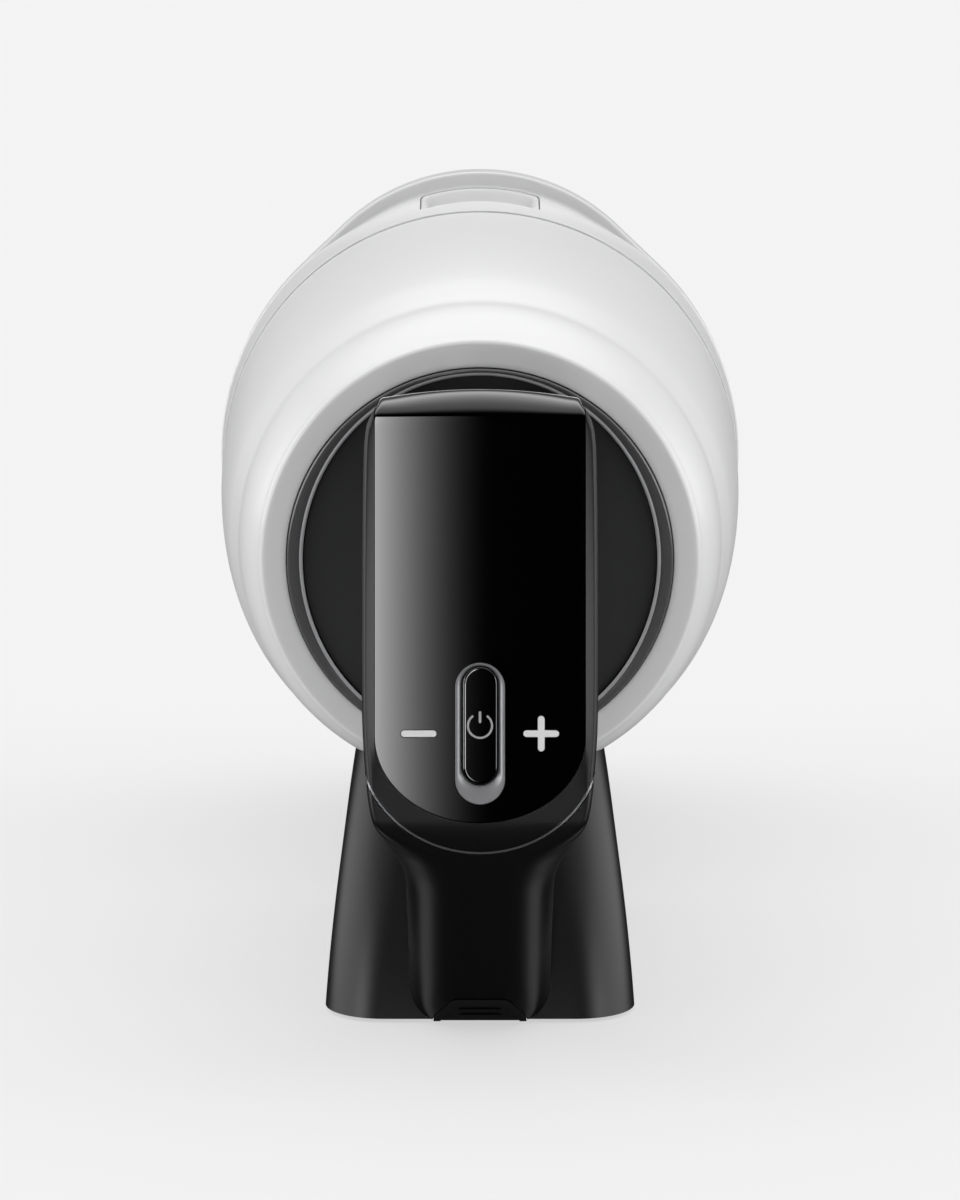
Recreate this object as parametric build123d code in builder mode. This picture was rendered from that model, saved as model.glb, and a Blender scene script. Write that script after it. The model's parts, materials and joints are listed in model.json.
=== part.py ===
"""Cordless vacuum hand unit: white motor housing, bridge handle, battery bay, dust bin and inlet tube.

Frame: origin at the centre of the battery's flat base, +Z up, +Y towards the dust bin, millimetres.
Stations (q) are measured forward from the rear face of the motor housing.
"""

import math
import os

from build123d import *

os.makedirs("parts", exist_ok=True)

# ---- driving dimensions, mm ----
AXIS_Z = 97.0            # height of the motor housing's axis at its rear face
REAR_Y = -31.0           # Y of the housing's rear face (station 0)
WALL = 2.4               # wall of the large shells
FIT = 0.3                # gap between parts that move against each other
SEAT = 0.15              # gap between fixed parts that sit together

RING_R = 42.0            # outer radius of the rear trim ring
COVER_RX = 38.5          # half width of the rear cover
COVER_RZ = 40.4          # half height of the rear cover
SEAM_Q = 95.0            # station of the seam between housing and collar
CROWN_Q = 118.0          # station where the collar's crown rises
COLLAR_END = 128.0       # front face of the collar
BORE_LIFT = 6.4          # how far the bin's axis lies above AXIS_Z
BIN_Z = AXIS_Z + BORE_LIFT
BIN_Q = COLLAR_END + 0.6
BIN_END = 226.0          # front rim of the bin
MOTOR_Z = AXIS_Z + 2.0

# the white housing's round sections
ANNULUS_R = 48.0         # edge of the flat rear annulus
SHOULDER_R = 54.6        # radius where the rounded shoulder ends
SHOULDER_Q = 20.0
SEAM_R = 60.7

# handle side profile in (station, height)
ROOT_TOP = (0.5, 136.2)
BEND = (-61.2, 142.4)
CHIN = (-78.2, 50.5)
ROOT_BOTTOM = (0.5, 112.2)
INNER_BEND = (-42.0, 116.5)
INNER_CHIN = (-53.6, 58.0)
COLUMN_HEEL = (-71.0, 43.0)
FOOT_REAR = (-26.0, 0.6)
FOOT_FRONT = (-4.0, 0.6)
FOOT_TOP = (-8.0, 18.5)
BEND_RADIUS = 9.0
CHIN_RADIUS = 12.0
HEEL_RADIUS = 8.0
INNER_RADIUS = 9.0
ROOF_X = 22.0            # the bar's arched top drops this much, this far out from the middle
ROOT_DROP = 7.0
BEND_DROP = 2.7
HANDLE_WALL = 3.6
SCREW_X = (-12.0, 12.0)  # screws that hold the handle's root to the rear cover
SCREW_Z = AXIS_Z + 31.5
SCREW_R = 1.6

HEAD_HALF = 24.0         # half width of the panel head
RAIL = 2.7               # width of the bezel's side rails
PLATE_HALF = HEAD_HALF - RAIL
COLUMN_HALF = 15.4       # half width of the grip column
BEZEL_DEPTH = 4.2
PLATE_SINK = 0.25
PLATE_THICK = 2.2
PANEL_TOP = 62.0         # end of the flat panel above its lower centre
PLATE_FOOT = 17.5        # depth of the plate's rounded foot

PILL_W = 10.1            # power surround
PILL_H = 28.7
KEY_W = 6.9              # power key
KEY_H = 23.8
KEY_RISE = 1.6           # key centre above the surround's centre
GLYPH_X = 12.4           # minus and plus keys, out from the centre
GLYPH_L = 7.2
GLYPH_W = 1.35
SYMBOL_R = 2.65          # power symbol
SYMBOL_LINE = 0.42

SLEEVE_TOP = 58.0
TERMINAL_X = (-9.0, -3.0, 3.0, 9.0)
TERMINAL_Q = 74.0
BAY_TOP = 40.8           # ceiling of the battery bay
CASE_TOP = 39.0          # top of the battery case
BATTERY_GAP = 0.35

TUBE_Z = 22.0            # suction tube under the bin
TUBE_R = 18.0
SOCKET_R = 16.2          # bore that takes the wand
SOCKET_LENGTH = 60.0
PASSAGE_R = 14.6         # air passage behind the socket's stop shoulder
TUBE_Q0 = 100.0
TUBE_END = 250.0
HINGE_Q = 229.4
HINGE_Z = 46.6
PORT_Q = 152.0           # station of the port from the tube into the bin
PORT_R = 10.4
PORT_TOP = 43.2


def station(q, height=0.0):
    """Upright plane across the unit at station q, facing forward; its local y is up."""
    return Plane(origin=(0, REAR_Y + q, height), x_dir=(-1, 0, 0), z_dir=(0, 1, 0))


def level(z):
    """Horizontal plane whose local x is across the unit and local y is the station."""
    return Plane(origin=(0, REAR_Y, z), x_dir=(1, 0, 0), z_dir=(0, 0, 1))


SIDE = Plane(origin=(0, REAR_Y, 0), x_dir=(0, 1, 0), z_dir=(1, 0, 0))
MOTOR_SIDE = Plane(origin=(0, REAR_Y, MOTOR_Z), x_dir=(0, 1, 0), z_dir=(1, 0, 0))
BIN_SIDE = Plane(origin=(0, REAR_Y, BIN_Z), x_dir=(0, 1, 0), z_dir=(1, 0, 0))
MOTOR_AXIS = Axis((0, 0, MOTOR_Z), (0, 1, 0))
BIN_AXIS = Axis((0, 0, BIN_Z), (0, 1, 0))

# the panel plane: origin at the centre of the panel's rounded foot, local y up the panel, z outward
PANEL_RUN = (BEND[0] - CHIN[0], BEND[1] - CHIN[1])
PANEL_LEN = math.hypot(*PANEL_RUN)
PANEL_UP = (PANEL_RUN[0] / PANEL_LEN, PANEL_RUN[1] / PANEL_LEN)
FOOT_CENTRE = 23.2       # distance of that centre from the chin, up the panel
PANEL = Plane(
    origin=(0, REAR_Y + CHIN[0] + PANEL_UP[0] * FOOT_CENTRE, CHIN[1] + PANEL_UP[1] * FOOT_CENTRE),
    x_dir=(1, 0, 0),
    z_dir=(0, -PANEL_UP[1], PANEL_UP[0]),
)


def save(builder, name):
    """Label a finished piece and write its STEP file."""
    builder.part.label = name
    export_step(builder.part, f"parts/{name}.step")


def add_tube(q0, q1, r_outer, r_inner, height, mode=Mode.ADD):
    """Straight round tube or disc along Y between two stations."""
    with BuildSketch(station(q0, height)) as ring:
        Circle(r_outer)
        if r_inner > 0:
            Circle(r_inner, mode=Mode.SUBTRACT)
    extrude(ring.sketch, amount=q1 - q0, mode=mode)


def add_block(x_half, q0, q1, z0, z1, mode=Mode.ADD):
    """Box between two stations and two heights, centred across the unit."""
    with BuildSketch(level(z0)) as foot:
        with Locations((0, (q0 + q1) / 2)):
            Rectangle(2 * x_half, q1 - q0)
    extrude(foot.sketch, amount=z1 - z0, mode=mode)


def shell_radius(q):
    """Radius of the white housing: a quarter-ellipse shoulder, then a nearly straight flare."""
    if q < SHOULDER_Q:
        back = 1.0 - q / SHOULDER_Q
        return ANNULUS_R + (SHOULDER_R - ANNULUS_R) * math.sqrt(1.0 - back * back)
    run = (q - SHOULDER_Q) / (SEAM_Q - SHOULDER_Q)
    return SHOULDER_R + (SEAM_R - SHOULDER_R) * run


def shell_rise(q):
    """Rise of the section's centre above the rear axis."""
    run = max(0.0, q - 8.0) / (SEAM_Q - 8.0)
    return BORE_LIFT * run ** 1.15


def shell_volume(growth, q_from=0.0):
    """The white housing's outer volume, grown by an offset and cut off behind q_from."""
    stations = [0.0, 0.4, 1.2, 2.6, 5.0, 8.0, 13.0, SHOULDER_Q, 35.0, 50.0, 65.0, 80.0, SEAM_Q]
    with BuildPart() as volume:
        for q in stations:
            with BuildSketch(station(q, AXIS_Z + shell_rise(q))):
                Circle(shell_radius(q) + growth)
        loft(ruled=True)
        if q_from > 0:
            add_tube(-1, q_from, 90, 0, AXIS_Z, mode=Mode.SUBTRACT)
    return volume.part


# ---------------------------------------------------------------- motor housing and rear end
def make_rear_housing():
    """White shell: flat annulus at the rear, flaring forward to the seam."""
    with BuildPart() as rear_housing:
        add(shell_volume(0))
        add(shell_volume(-WALL, q_from=3.0), mode=Mode.SUBTRACT)
        add_tube(-1, 4, RING_R + SEAT, 0, AXIS_Z, mode=Mode.SUBTRACT)
        for side in (-1, 1):
            for step in range(5):
                angle = side * (38 + 7 * step)
                with Locations(Location((0, REAR_Y + 74, AXIS_Z + 4), (0, angle, 0))):
                    Box(2.6, 20, 80, align=(Align.CENTER, Align.CENTER, Align.MAX), mode=Mode.SUBTRACT)
    save(rear_housing, "rear_housing")


def make_rear_trim_ring():
    """Glossy ring in the housing's rear bore; its window is slightly taller than it is wide."""
    with BuildPart() as rear_trim_ring:
        with BuildSketch(station(-0.8, AXIS_Z)):
            Circle(RING_R)
            Ellipse(COVER_RX + SEAT, COVER_RZ + SEAT, mode=Mode.SUBTRACT)
        extrude(amount=4.6)
        outer_edge = rear_trim_ring.edges().filter_by(GeomType.CIRCLE).sort_by(Axis.Y)[0]
        chamfer(outer_edge, 0.5)
    save(rear_trim_ring, "rear_trim_ring")


def make_rear_cover():
    """Dark disc that closes the housing behind the filter and carries the handle's root."""
    with BuildPart() as rear_cover:
        with BuildSketch(station(0.8, AXIS_Z)):
            Ellipse(COVER_RX, COVER_RZ)
        extrude(amount=3.0)
        for x in SCREW_X:
            with Locations(station(0.0, SCREW_Z) * Location((x, 0, 0))):
                Cylinder(SCREW_R + FIT, 12, mode=Mode.SUBTRACT)
        # wire passage into the handle's root
        add_block(6.0, 0.0, 5.0, SCREW_Z - 8.0, SCREW_Z - 2.0, mode=Mode.SUBTRACT)
    save(rear_cover, "rear_cover")


def make_filter():
    """Exhaust filter: pleated annulus in a plastic frame."""
    with BuildPart() as filter_frame:
        add_tube(5.0, 22.0, 46.0, 43.0, AXIS_Z)
        add_tube(20.4, 22.0, 43.0, 40.0, AXIS_Z)
    save(filter_frame, "filter_frame")

    pleats = 48
    with BuildPart() as exhaust_filter:
        add_tube(7.0, 20.2, 42.8, 12.0, AXIS_Z)
        with BuildSketch(station(6.9, AXIS_Z)):
            with PolarLocations(28.0, pleats):
                Rectangle(25.0, 0.9)
        extrude(amount=5.0, mode=Mode.SUBTRACT)
    save(exhaust_filter, "exhaust_filter")


def make_front_collar():
    """Light ring ahead of the seam: a rising deck, then an egg-shaped crown with a bulkhead."""
    with BuildPart() as front_collar:
        with BuildSketch(station(SEAM_Q + 0.4, BIN_Z)):
            Circle(60.4)
        with BuildSketch(station(106.0, BIN_Z)):
            Circle(61.6)
        with BuildSketch(station(CROWN_Q, BIN_Z)):
            Circle(62.4)
        loft()
        with BuildSketch(station(CROWN_Q - 12.0)) as deck:
            with Locations((0, BIN_Z)):
                Circle(61.6)
            with Locations((0, BIN_Z + 12.6)):
                Circle(49.2)
            make_hull()
        with BuildSketch(station(CROWN_Q)) as deck_top:
            with Locations((0, BIN_Z)):
                Circle(62.4)
            with Locations((0, BIN_Z + 17.4)):
                Circle(47.6)
            make_hull()
        loft([deck.sketch, deck_top.sketch])
        with BuildSketch(station(CROWN_Q)) as crown:
            with Locations((0, BIN_Z)):
                Circle(62.7)
            with Locations((0, BIN_Z + 20.3)):
                Circle(48.0)
            make_hull()
        extrude(crown.sketch, amount=COLLAR_END - CROWN_Q)
        # hollow behind the bulkhead, with the round air passage through it
        add_tube(SEAM_Q, COLLAR_END - 4.0, 57.6, 0, BIN_Z, mode=Mode.SUBTRACT)
        add_tube(COLLAR_END - 5.0, COLLAR_END + 1.0, 24.0, 0, BIN_Z, mode=Mode.SUBTRACT)
        # slot for the release button
        add_block(14.2 + FIT, 107.0, CROWN_Q - 0.6, BIN_Z + 56.0, BIN_Z + 80.0, mode=Mode.SUBTRACT)
    save(front_collar, "front_collar")


def make_bin_release_button():
    """Wide push button in the collar's deck, just behind the crown's lip."""
    with BuildPart() as bin_release_button:
        with BuildSketch(SIDE):
            with BuildLine():
                Polyline(
                    (107.3, BIN_Z + 61.0), (117.1, BIN_Z + 63.4), (117.1, BIN_Z + 59.6),
                    (107.3, BIN_Z + 58.4), close=True,
                )
            make_face()
        extrude(amount=14.2, both=True)
        add_block(3.0, 109.0, 115.0, BIN_Z + 58.0, BIN_Z + 59.8)
        upright = bin_release_button.edges().filter_by(Axis.Z).sort_by(Axis.Y)
        fillet(upright[:2], 1.5)
    save(bin_release_button, "bin_release_button")


# ---------------------------------------------------------------- motor
def make_motor():
    """Bucket, mounts, stator, bridges, rotor and impeller on the motor axis."""
    with BuildPart() as motor_bucket:
        add_tube(26.0, 84.0, 33.0, 30.6, MOTOR_Z)
        add_tube(26.0, 27.4, 30.6, 24.0, MOTOR_Z)
        add_tube(84.0, 85.8, 40.0, 30.6, MOTOR_Z)
    save(motor_bucket, "motor_bucket")

    with BuildPart() as motor_rear_mount:
        add_tube(28.0, 36.0, 36.5, 33.1, MOTOR_Z)
        with BuildSketch(station(28.0, MOTOR_Z)):
            with PolarLocations(43.0, 6):
                Rectangle(13.4, 7.0)
        extrude(amount=8.0)
    save(motor_rear_mount, "motor_rear_mount")

    with BuildPart() as motor_plate:
        add_tube(89.0, 91.6, 55.4, 22.0, MOTOR_Z + 2.0)
    save(motor_plate, "motor_plate")

    with BuildPart() as motor_front_mount:
        add_tube(85.9, 88.9, 39.0, 31.0, MOTOR_Z)
    save(motor_front_mount, "motor_front_mount")

    teeth = 6
    with BuildPart() as stator_core:
        with BuildSketch(station(40.0, MOTOR_Z)):
            Circle(30.4)
            Circle(24.0, mode=Mode.SUBTRACT)
            with PolarLocations(20.0, teeth):
                Rectangle(9.0, 6.0)
            with PolarLocations(15.6, teeth):
                Rectangle(2.0, 11.0)
            Circle(14.6, mode=Mode.SUBTRACT)
        extrude(amount=18.0)
    save(stator_core, "stator_core")

    with BuildPart() as stator_coils:
        for angle in range(0, 360, 360 // teeth):
            with BuildSketch(station(38.0, MOTOR_Z)):
                with Locations(Location((0, 0, 0), (0, 0, angle))):
                    with Locations((20.0, 0)):
                        Rectangle(6.0, 10.4)
                        Rectangle(6.0, 6.3, mode=Mode.SUBTRACT)
            extrude(amount=22.0)
    save(stator_coils, "stator_coils")

    with BuildPart() as rear_bearing_bridge:
        add_tube(30.0, 36.0, 30.4, 24.0, MOTOR_Z)
        add_tube(30.0, 36.0, 9.0, 6.6, MOTOR_Z)
        with BuildSketch(station(31.0, MOTOR_Z)):
            with PolarLocations(16.5, 3):
                Rectangle(16.0, 5.0)
        extrude(amount=4.0)
    save(rear_bearing_bridge, "rear_bearing_bridge")

    vanes = 11
    with BuildPart() as diffuser:
        add_tube(62.0, 68.0, 9.0, 6.6, MOTOR_Z)
        add_tube(62.0, 64.0, 26.0, 9.0, MOTOR_Z)
        add_tube(62.0, 68.4, 30.4, 28.8, MOTOR_Z)
        with BuildSketch(station(62.0, MOTOR_Z)):
            with PolarLocations(27.4, vanes):
                Rectangle(3.4, 1.4, rotation=35)
        extrude(amount=6.0)
    save(diffuser, "diffuser")

    with BuildPart() as impeller_shroud:
        add_tube(69.0, 83.6, 30.4, 28.4, MOTOR_Z)
        add_tube(81.8, 83.6, 28.4, 15.0, MOTOR_Z)
    save(impeller_shroud, "impeller_shroud")

    with BuildPart() as motor_bearings:
        for q in (30.5, 62.5):
            add_tube(q, q + 5.0, 6.55, 2.55, MOTOR_Z)
    save(motor_bearings, "motor_bearings")

    with BuildPart() as rotor_shaft:
        add_tube(29.6, 79.0, 2.5, 0, MOTOR_Z)
    save(rotor_shaft, "rotor_shaft")

    with BuildPart() as rotor_magnet:
        add_tube(38.0, 60.0, 13.8, 2.5, MOTOR_Z)
    save(rotor_magnet, "rotor_magnet")

    blades = 9
    with BuildPart() as impeller:
        add_tube(70.0, 71.6, 27.0, 2.5, MOTOR_Z)
        with BuildSketch(MOTOR_SIDE):
            with BuildLine():
                Polyline((71.6, 2.5), (71.6, 9.0), (78.6, 5.0), (78.6, 2.5), close=True)
            make_face()
        revolve(axis=MOTOR_AXIS)
        with BuildSketch(station(71.6, MOTOR_Z)):
            with PolarLocations(17.0, blades):
                Rectangle(19.0, 0.9, rotation=24)
        extrude(amount=8.0)
        add_tube(71.6, 80.0, 40.0, 26.6, MOTOR_Z, mode=Mode.SUBTRACT)
    save(impeller, "impeller")

    with BuildPart() as motor_board:
        add_tube(27.8, 29.2, 29.8, 6.0, MOTOR_Z)
    save(motor_board, "motor_board")


# ---------------------------------------------------------------- battery bay
def sleeve_half(z):
    """Half width of the battery sleeve at a height."""
    return 33.8 - 0.070 * z - 0.0011 * z * z


def sleeve_rear(z):
    """Station of the battery sleeve's rear wall at a height."""
    return -24.0 + 0.33 * z + 0.0030 * z * z


def sleeve_front(z):
    """Station of the battery sleeve's front wall at a height."""
    return 86.0 - 0.03 * z


def sleeve_volume(growth, z0, z1, steps=3):
    """Tapering rounded block that follows the sleeve, grown by an offset."""
    with BuildPart() as volume:
        for step in range(steps + 1):
            z = z0 + (z1 - z0) * step / steps
            rear = sleeve_rear(z) - growth
            front = sleeve_front(z) + growth
            with BuildSketch(level(z)):
                with Locations((0, (rear + front) / 2)):
                    RectangleRounded(2 * (sleeve_half(z) + growth), front - rear, 13.0 + growth)
        loft()
    return volume.part


def arch_volume(growth, q0, q1):
    """Prism of the release button's outline: the upper half of a rounded octagon."""
    with BuildPart() as volume:
        with BuildSketch(station(q0)):
            with BuildLine():
                Polyline(
                    (-10.2 - growth, -2.0), (-10.0 - growth, 1.4), (-5.8 - growth / 2, 7.4 + growth),
                    (5.8 + growth / 2, 7.4 + growth), (10.0 + growth, 1.4), (10.2 + growth, -2.0),
                    close=True,
                )
            make_face()
        extrude(amount=q1 - q0)
    return volume.part


def make_battery_sleeve():
    """Black flared bay under the motor housing, open underneath."""
    with BuildPart() as battery_sleeve:
        add(sleeve_volume(0, 0.6, SLEEVE_TOP))
        add(sleeve_volume(-WALL, -1.0, BAY_TOP), mode=Mode.SUBTRACT)
        add(shell_volume(0.1), mode=Mode.SUBTRACT)
        add(arch_volume(FIT, -60.0, -10.0), mode=Mode.SUBTRACT)
        # the bay's roof stops short of the collar
        add_tube(-30.0, 0.7, RING_R + 8.0, 0, AXIS_Z, mode=Mode.SUBTRACT)
    save(battery_sleeve, "battery_sleeve")


def make_battery():
    """Battery pack: case, flat base, cells, holder, board, contacts and release button."""
    inset = -WALL - BATTERY_GAP
    with BuildPart() as battery_case:
        add(sleeve_volume(inset, 3.1, CASE_TOP))
        add(sleeve_volume(inset - 1.5, 3.0, CASE_TOP - 1.2), mode=Mode.SUBTRACT)
        for x in TERMINAL_X:
            with Locations((x, REAR_Y + TERMINAL_Q, CASE_TOP)):
                Box(2.4, 10, 4, mode=Mode.SUBTRACT)
    save(battery_case, "battery_case")

    with BuildPart() as battery_base:
        add(sleeve_volume(inset, 0.0, 3.0, steps=1))
        for x in (-8, 8):
            with Locations((x, REAR_Y - 8, 0.4)):
                Box(6.4, 5.4, 0.8, mode=Mode.SUBTRACT)
    save(battery_base, "battery_base")

    with BuildPart() as charging_contacts:
        for x in (-8, 8):
            with Locations((x, REAR_Y - 8, 0.55)):
                Box(6.0, 5.0, 0.5)
    save(charging_contacts, "charging_contacts")

    lower_row = [(x, 12.4) for x in (-18.8, 0, 18.8)]
    upper_row = [(x, 28.3) for x in (-9.4, 9.4)]
    with BuildPart() as battery_cells:
        with BuildSketch(station(0.0)):
            with Locations(*lower_row, *upper_row):
                Circle(9.1)
        extrude(amount=65.0)
    save(battery_cells, "battery_cells")

    with BuildPart() as cell_holders:
        for q in (1.0, 58.0):
            with BuildSketch(station(q)):
                with Locations((0, 18.2)):
                    Rectangle(46.0, 29.0)
                with Locations(*lower_row, *upper_row):
                    Circle(9.15, mode=Mode.SUBTRACT)
            extrude(amount=6.0)
    save(cell_holders, "cell_holders")

    with BuildPart() as battery_board:
        add_block(22.0, 67.0, 68.6, 5.0, 34.0)
    save(battery_board, "battery_board")

    with BuildPart() as battery_terminals:
        for x in TERMINAL_X:
            with Locations((x, REAR_Y + TERMINAL_Q, CASE_TOP - 0.9)):
                Box(1.8, 9.4, 2.0)
    save(battery_terminals, "battery_terminals")

    with BuildPart() as battery_release_button:
        add(arch_volume(0, -50.0, -23.2))
        # trim to the slope of the grip column and to the base's level
        with BuildSketch(SIDE):
            with BuildLine():
                Polyline((-60, -10), (-24.6, -10), (-24.6, 0.8), (-26.4, 0.8), (-60, 31.6), close=True)
            make_face()
        extrude(amount=20, both=True, mode=Mode.SUBTRACT)
        add_block(20.0, -26.0, -20.0, -5.0, 0.8, mode=Mode.SUBTRACT)
    save(battery_release_button, "battery_release_button")


def make_terminal_block():
    """Contact strip on the roof of the bay."""
    with BuildPart() as terminal_block:
        with Locations((0, REAR_Y + TERMINAL_Q, BAY_TOP - 0.55)):
            Box(24.0, 9.0, 0.9)
    save(terminal_block, "terminal_block")


# ---------------------------------------------------------------- handle
def handle_profile(inset):
    """Face of the handle's side profile, drawn inward by an inset."""
    with BuildSketch(SIDE) as profile:
        with BuildLine():
            FilletPolyline(
                ROOT_TOP, BEND, CHIN, COLUMN_HEEL, FOOT_REAR, radius=(BEND_RADIUS, CHIN_RADIUS, HEEL_RADIUS),
            )
            Polyline(FOOT_REAR, FOOT_FRONT, FOOT_TOP)
            FilletPolyline(
                FOOT_TOP, INNER_CHIN, INNER_BEND, ROOT_BOTTOM, radius=(INNER_RADIUS, INNER_RADIUS),
            )
            Line(ROOT_BOTTOM, ROOT_TOP)
        make_face()
        if inset > 0:
            offset(amount=-inset, kind=Kind.INTERSECTION)
    return profile.sketch


def handle_outline(inset):
    """Outline of the handle from behind: wide head, tapering cheeks, slim column."""
    right = [
        (20.6, 140.4), (23.2, 135.0), (HEAD_HALF, 75.0), (23.2, 65.0), (22.4, 56.0),
        (20.4, 50.6), (16.6, 43.0), (COLUMN_HALF, 40.0), (COLUMN_HALF, -6.0),
    ]
    left = [(-x, z) for x, z in reversed(right)]
    with BuildSketch(station(BEND[0])) as outline:
        with BuildLine():
            Polyline(*left[1:-1], left[-1])
            Polyline(*right)
            Line(right[-1], left[0])
            Polyline(left[0], left[1])
            ThreePointArc(left[-1], (0, 144.0), right[0])
        make_face()
        if inset > 0:
            offset(amount=-inset, kind=Kind.INTERSECTION)
    return outline.sketch


BAR_SLOPE = (BEND[1] - ROOT_TOP[1]) / (ROOT_TOP[0] - BEND[0])


def roof_volume(inset):
    """Everything under the arched top of the bar, which grows rounder towards the root."""
    half = 30.0
    floor = -20.0
    with BuildPart() as roof:
        for q, drop in ((-85.0, BEND_DROP), (BEND[0], BEND_DROP), (3.0, ROOT_DROP)):
            radius = (ROOF_X ** 2 + drop ** 2) / (2 * drop)
            top = ROOT_TOP[1] + BAR_SLOPE * (ROOT_TOP[0] - q) - inset
            eaves = top - radius + math.sqrt(radius ** 2 - half ** 2)
            with BuildSketch(station(q)):
                with BuildLine():
                    ThreePointArc((-half, eaves), (0, top), (half, eaves))
                    Polyline((half, eaves), (half, floor), (-half, floor), (-half, eaves))
                make_face()
        loft(ruled=True)
    return roof.part


def crowned_volume(inset):
    """Side profile across the full width, under the arched roof."""
    with BuildPart() as volume:
        extrude(handle_profile(inset), amount=HEAD_HALF + 2, both=True)
        add(roof_volume(inset), mode=Mode.INTERSECT)
    return volume.part


def plate_bed(inset):
    """What the gloss plate lies on: the crowned profile, carried through to the root's end face."""
    with BuildPart() as bed:
        add(roof_volume(inset))
        add_block(HEAD_HALF + 2, -10.0, 2.0, 100.0, 150.0, mode=Mode.INTERSECT)
        add(crowned_volume(inset))
    return bed.part


def handle_volume(inset):
    """Solid of the whole handle: side profile crossed with the rear outline along the top bar's slope."""
    along = Vector(0, 1, -BAR_SLOPE).normalized()
    with BuildPart() as volume:
        add(crowned_volume(inset))
        with BuildPart(mode=Mode.PRIVATE) as crossing:
            outline = handle_outline(inset)
            extrude(outline, amount=75.0, dir=along)
            extrude(outline, amount=-30.0, dir=along)
        add(crossing.part, mode=Mode.INTERSECT)
        # the root passes through the trim ring's window
        with BuildSketch(station(-0.95, AXIS_Z)) as ring_side:
            Circle(RING_R + 8)
            Ellipse(COVER_RX - inset, COVER_RZ - inset, mode=Mode.SUBTRACT)
        extrude(ring_side.sketch, amount=3, mode=Mode.SUBTRACT)
    return volume.part


def panel_foot(half, depth, top):
    """Sketch in the panel plane: straight sides, open top, half-elliptical foot."""
    with BuildSketch(PANEL) as foot:
        Ellipse(half, depth)
        with Locations((0, top / 2)):
            Rectangle(2 * half, top)
        with Locations((0, top + 20)):
            Rectangle(4 * half, 40, mode=Mode.SUBTRACT)
    return foot.sketch


def make_handle():
    """Rear shell, inner grip shell, bezel, trim, gloss plate and the pieces behind them."""
    solid = handle_volume(0)
    hollow = handle_volume(HANDLE_WALL)
    sleeve = sleeve_volume(0.1, 0.6, SLEEVE_TOP)
    notch = arch_volume(FIT, -60.0, -10.0)

    with BuildPart() as plate_pocket:
        foot = panel_foot(PLATE_HALF + SEAT, PLATE_FOOT + SEAT, PANEL_TOP + 20)
        extrude(foot, amount=-8)
        extrude(foot, amount=2)
        add_block(PLATE_HALF + SEAT, -59.0, 5.0, 123.6, 150.0)
        add(solid, mode=Mode.INTERSECT)
        add(plate_bed(PLATE_SINK + PLATE_THICK + SEAT), mode=Mode.SUBTRACT)

    with BuildPart() as rear_region:
        with BuildSketch(SIDE):
            with BuildLine():
                Polyline(
                    (6, 124.0), (-45.0, 128.6), (-50.0, 124.0), (-65.0, 53.0), (-20.0, 10.6), (-20.0, -20),
                    (-110, -20), (-110, 170), (6, 170), close=True,
                )
            make_face()
        extrude(amount=40, both=True)

    with BuildPart() as handle_shell:
        add(solid)
        add(hollow, mode=Mode.SUBTRACT)
        add(rear_region.part, mode=Mode.INTERSECT)
        extrude(panel_foot(HEAD_HALF + 3, HEAD_HALF + 0.2, PANEL_TOP), amount=-BEZEL_DEPTH, mode=Mode.SUBTRACT)
        add(plate_pocket.part, mode=Mode.SUBTRACT)
        add(sleeve, mode=Mode.SUBTRACT)
        add(notch, mode=Mode.SUBTRACT)
        for x in SCREW_X:
            with Locations(station(0.0, SCREW_Z) * Location((x, 0, 0))):
                Cylinder(SCREW_R + SEAT, 12, mode=Mode.SUBTRACT)
    save(handle_shell, "handle_shell")

    with BuildPart() as grip_shell:
        add(solid)
        add(hollow, mode=Mode.SUBTRACT)
        add(rear_region.part, mode=Mode.SUBTRACT)
        add(sleeve, mode=Mode.SUBTRACT)
        add(notch, mode=Mode.SUBTRACT)
    save(grip_shell, "grip_shell")

    with BuildPart() as control_bezel:
        extrude(panel_foot(HEAD_HALF + 3, HEAD_HALF - 0.9, PANEL_TOP - 0.1), amount=-(BEZEL_DEPTH - 0.1))
        extrude(
            panel_foot(PLATE_HALF + SEAT, PLATE_FOOT + SEAT, PANEL_TOP + 5), amount=-BEZEL_DEPTH - 1,
            mode=Mode.SUBTRACT,
        )
        add(solid, mode=Mode.INTERSECT)
    save(control_bezel, "control_bezel")

    with BuildPart() as bezel_trim:
        extrude(panel_foot(HEAD_HALF + 3, HEAD_HALF, 2.0), amount=-(BEZEL_DEPTH - 0.1))
        extrude(
            panel_foot(HEAD_HALF + 4, HEAD_HALF - 0.8, PANEL_TOP + 5), amount=-BEZEL_DEPTH - 1,
            mode=Mode.SUBTRACT,
        )
        add(solid, mode=Mode.INTERSECT)
    save(bezel_trim, "bezel_trim")

    with BuildPart() as control_panel:
        extrude(panel_foot(PLATE_HALF, PLATE_FOOT, PANEL_TOP + 20), amount=-6)
        add_block(PLATE_HALF, -58.5, ROOT_TOP[0], 124.0, 150.0)
        add(crowned_volume(PLATE_SINK), mode=Mode.INTERSECT)
        add(plate_bed(PLATE_SINK + PLATE_THICK), mode=Mode.SUBTRACT)
        add(solid, mode=Mode.INTERSECT)
        with BuildSketch(PANEL):
            with Locations((0, 0.5)):
                SlotOverall(PILL_H + 2 * SEAT, PILL_W + 2 * SEAT, rotation=90)
            with Locations((-GLYPH_X, 0.5)):
                SlotOverall(GLYPH_L + 2 * FIT, GLYPH_W + 2 * FIT)
            with Locations((GLYPH_X, 0.5)):
                SlotOverall(GLYPH_L + 2 * FIT, GLYPH_W + 2 * FIT)
                SlotOverall(GLYPH_L + 2 * FIT, GLYPH_W + 2 * FIT, rotation=90)
        extrude(amount=-8, mode=Mode.SUBTRACT)
    save(control_panel, "control_panel")


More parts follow.
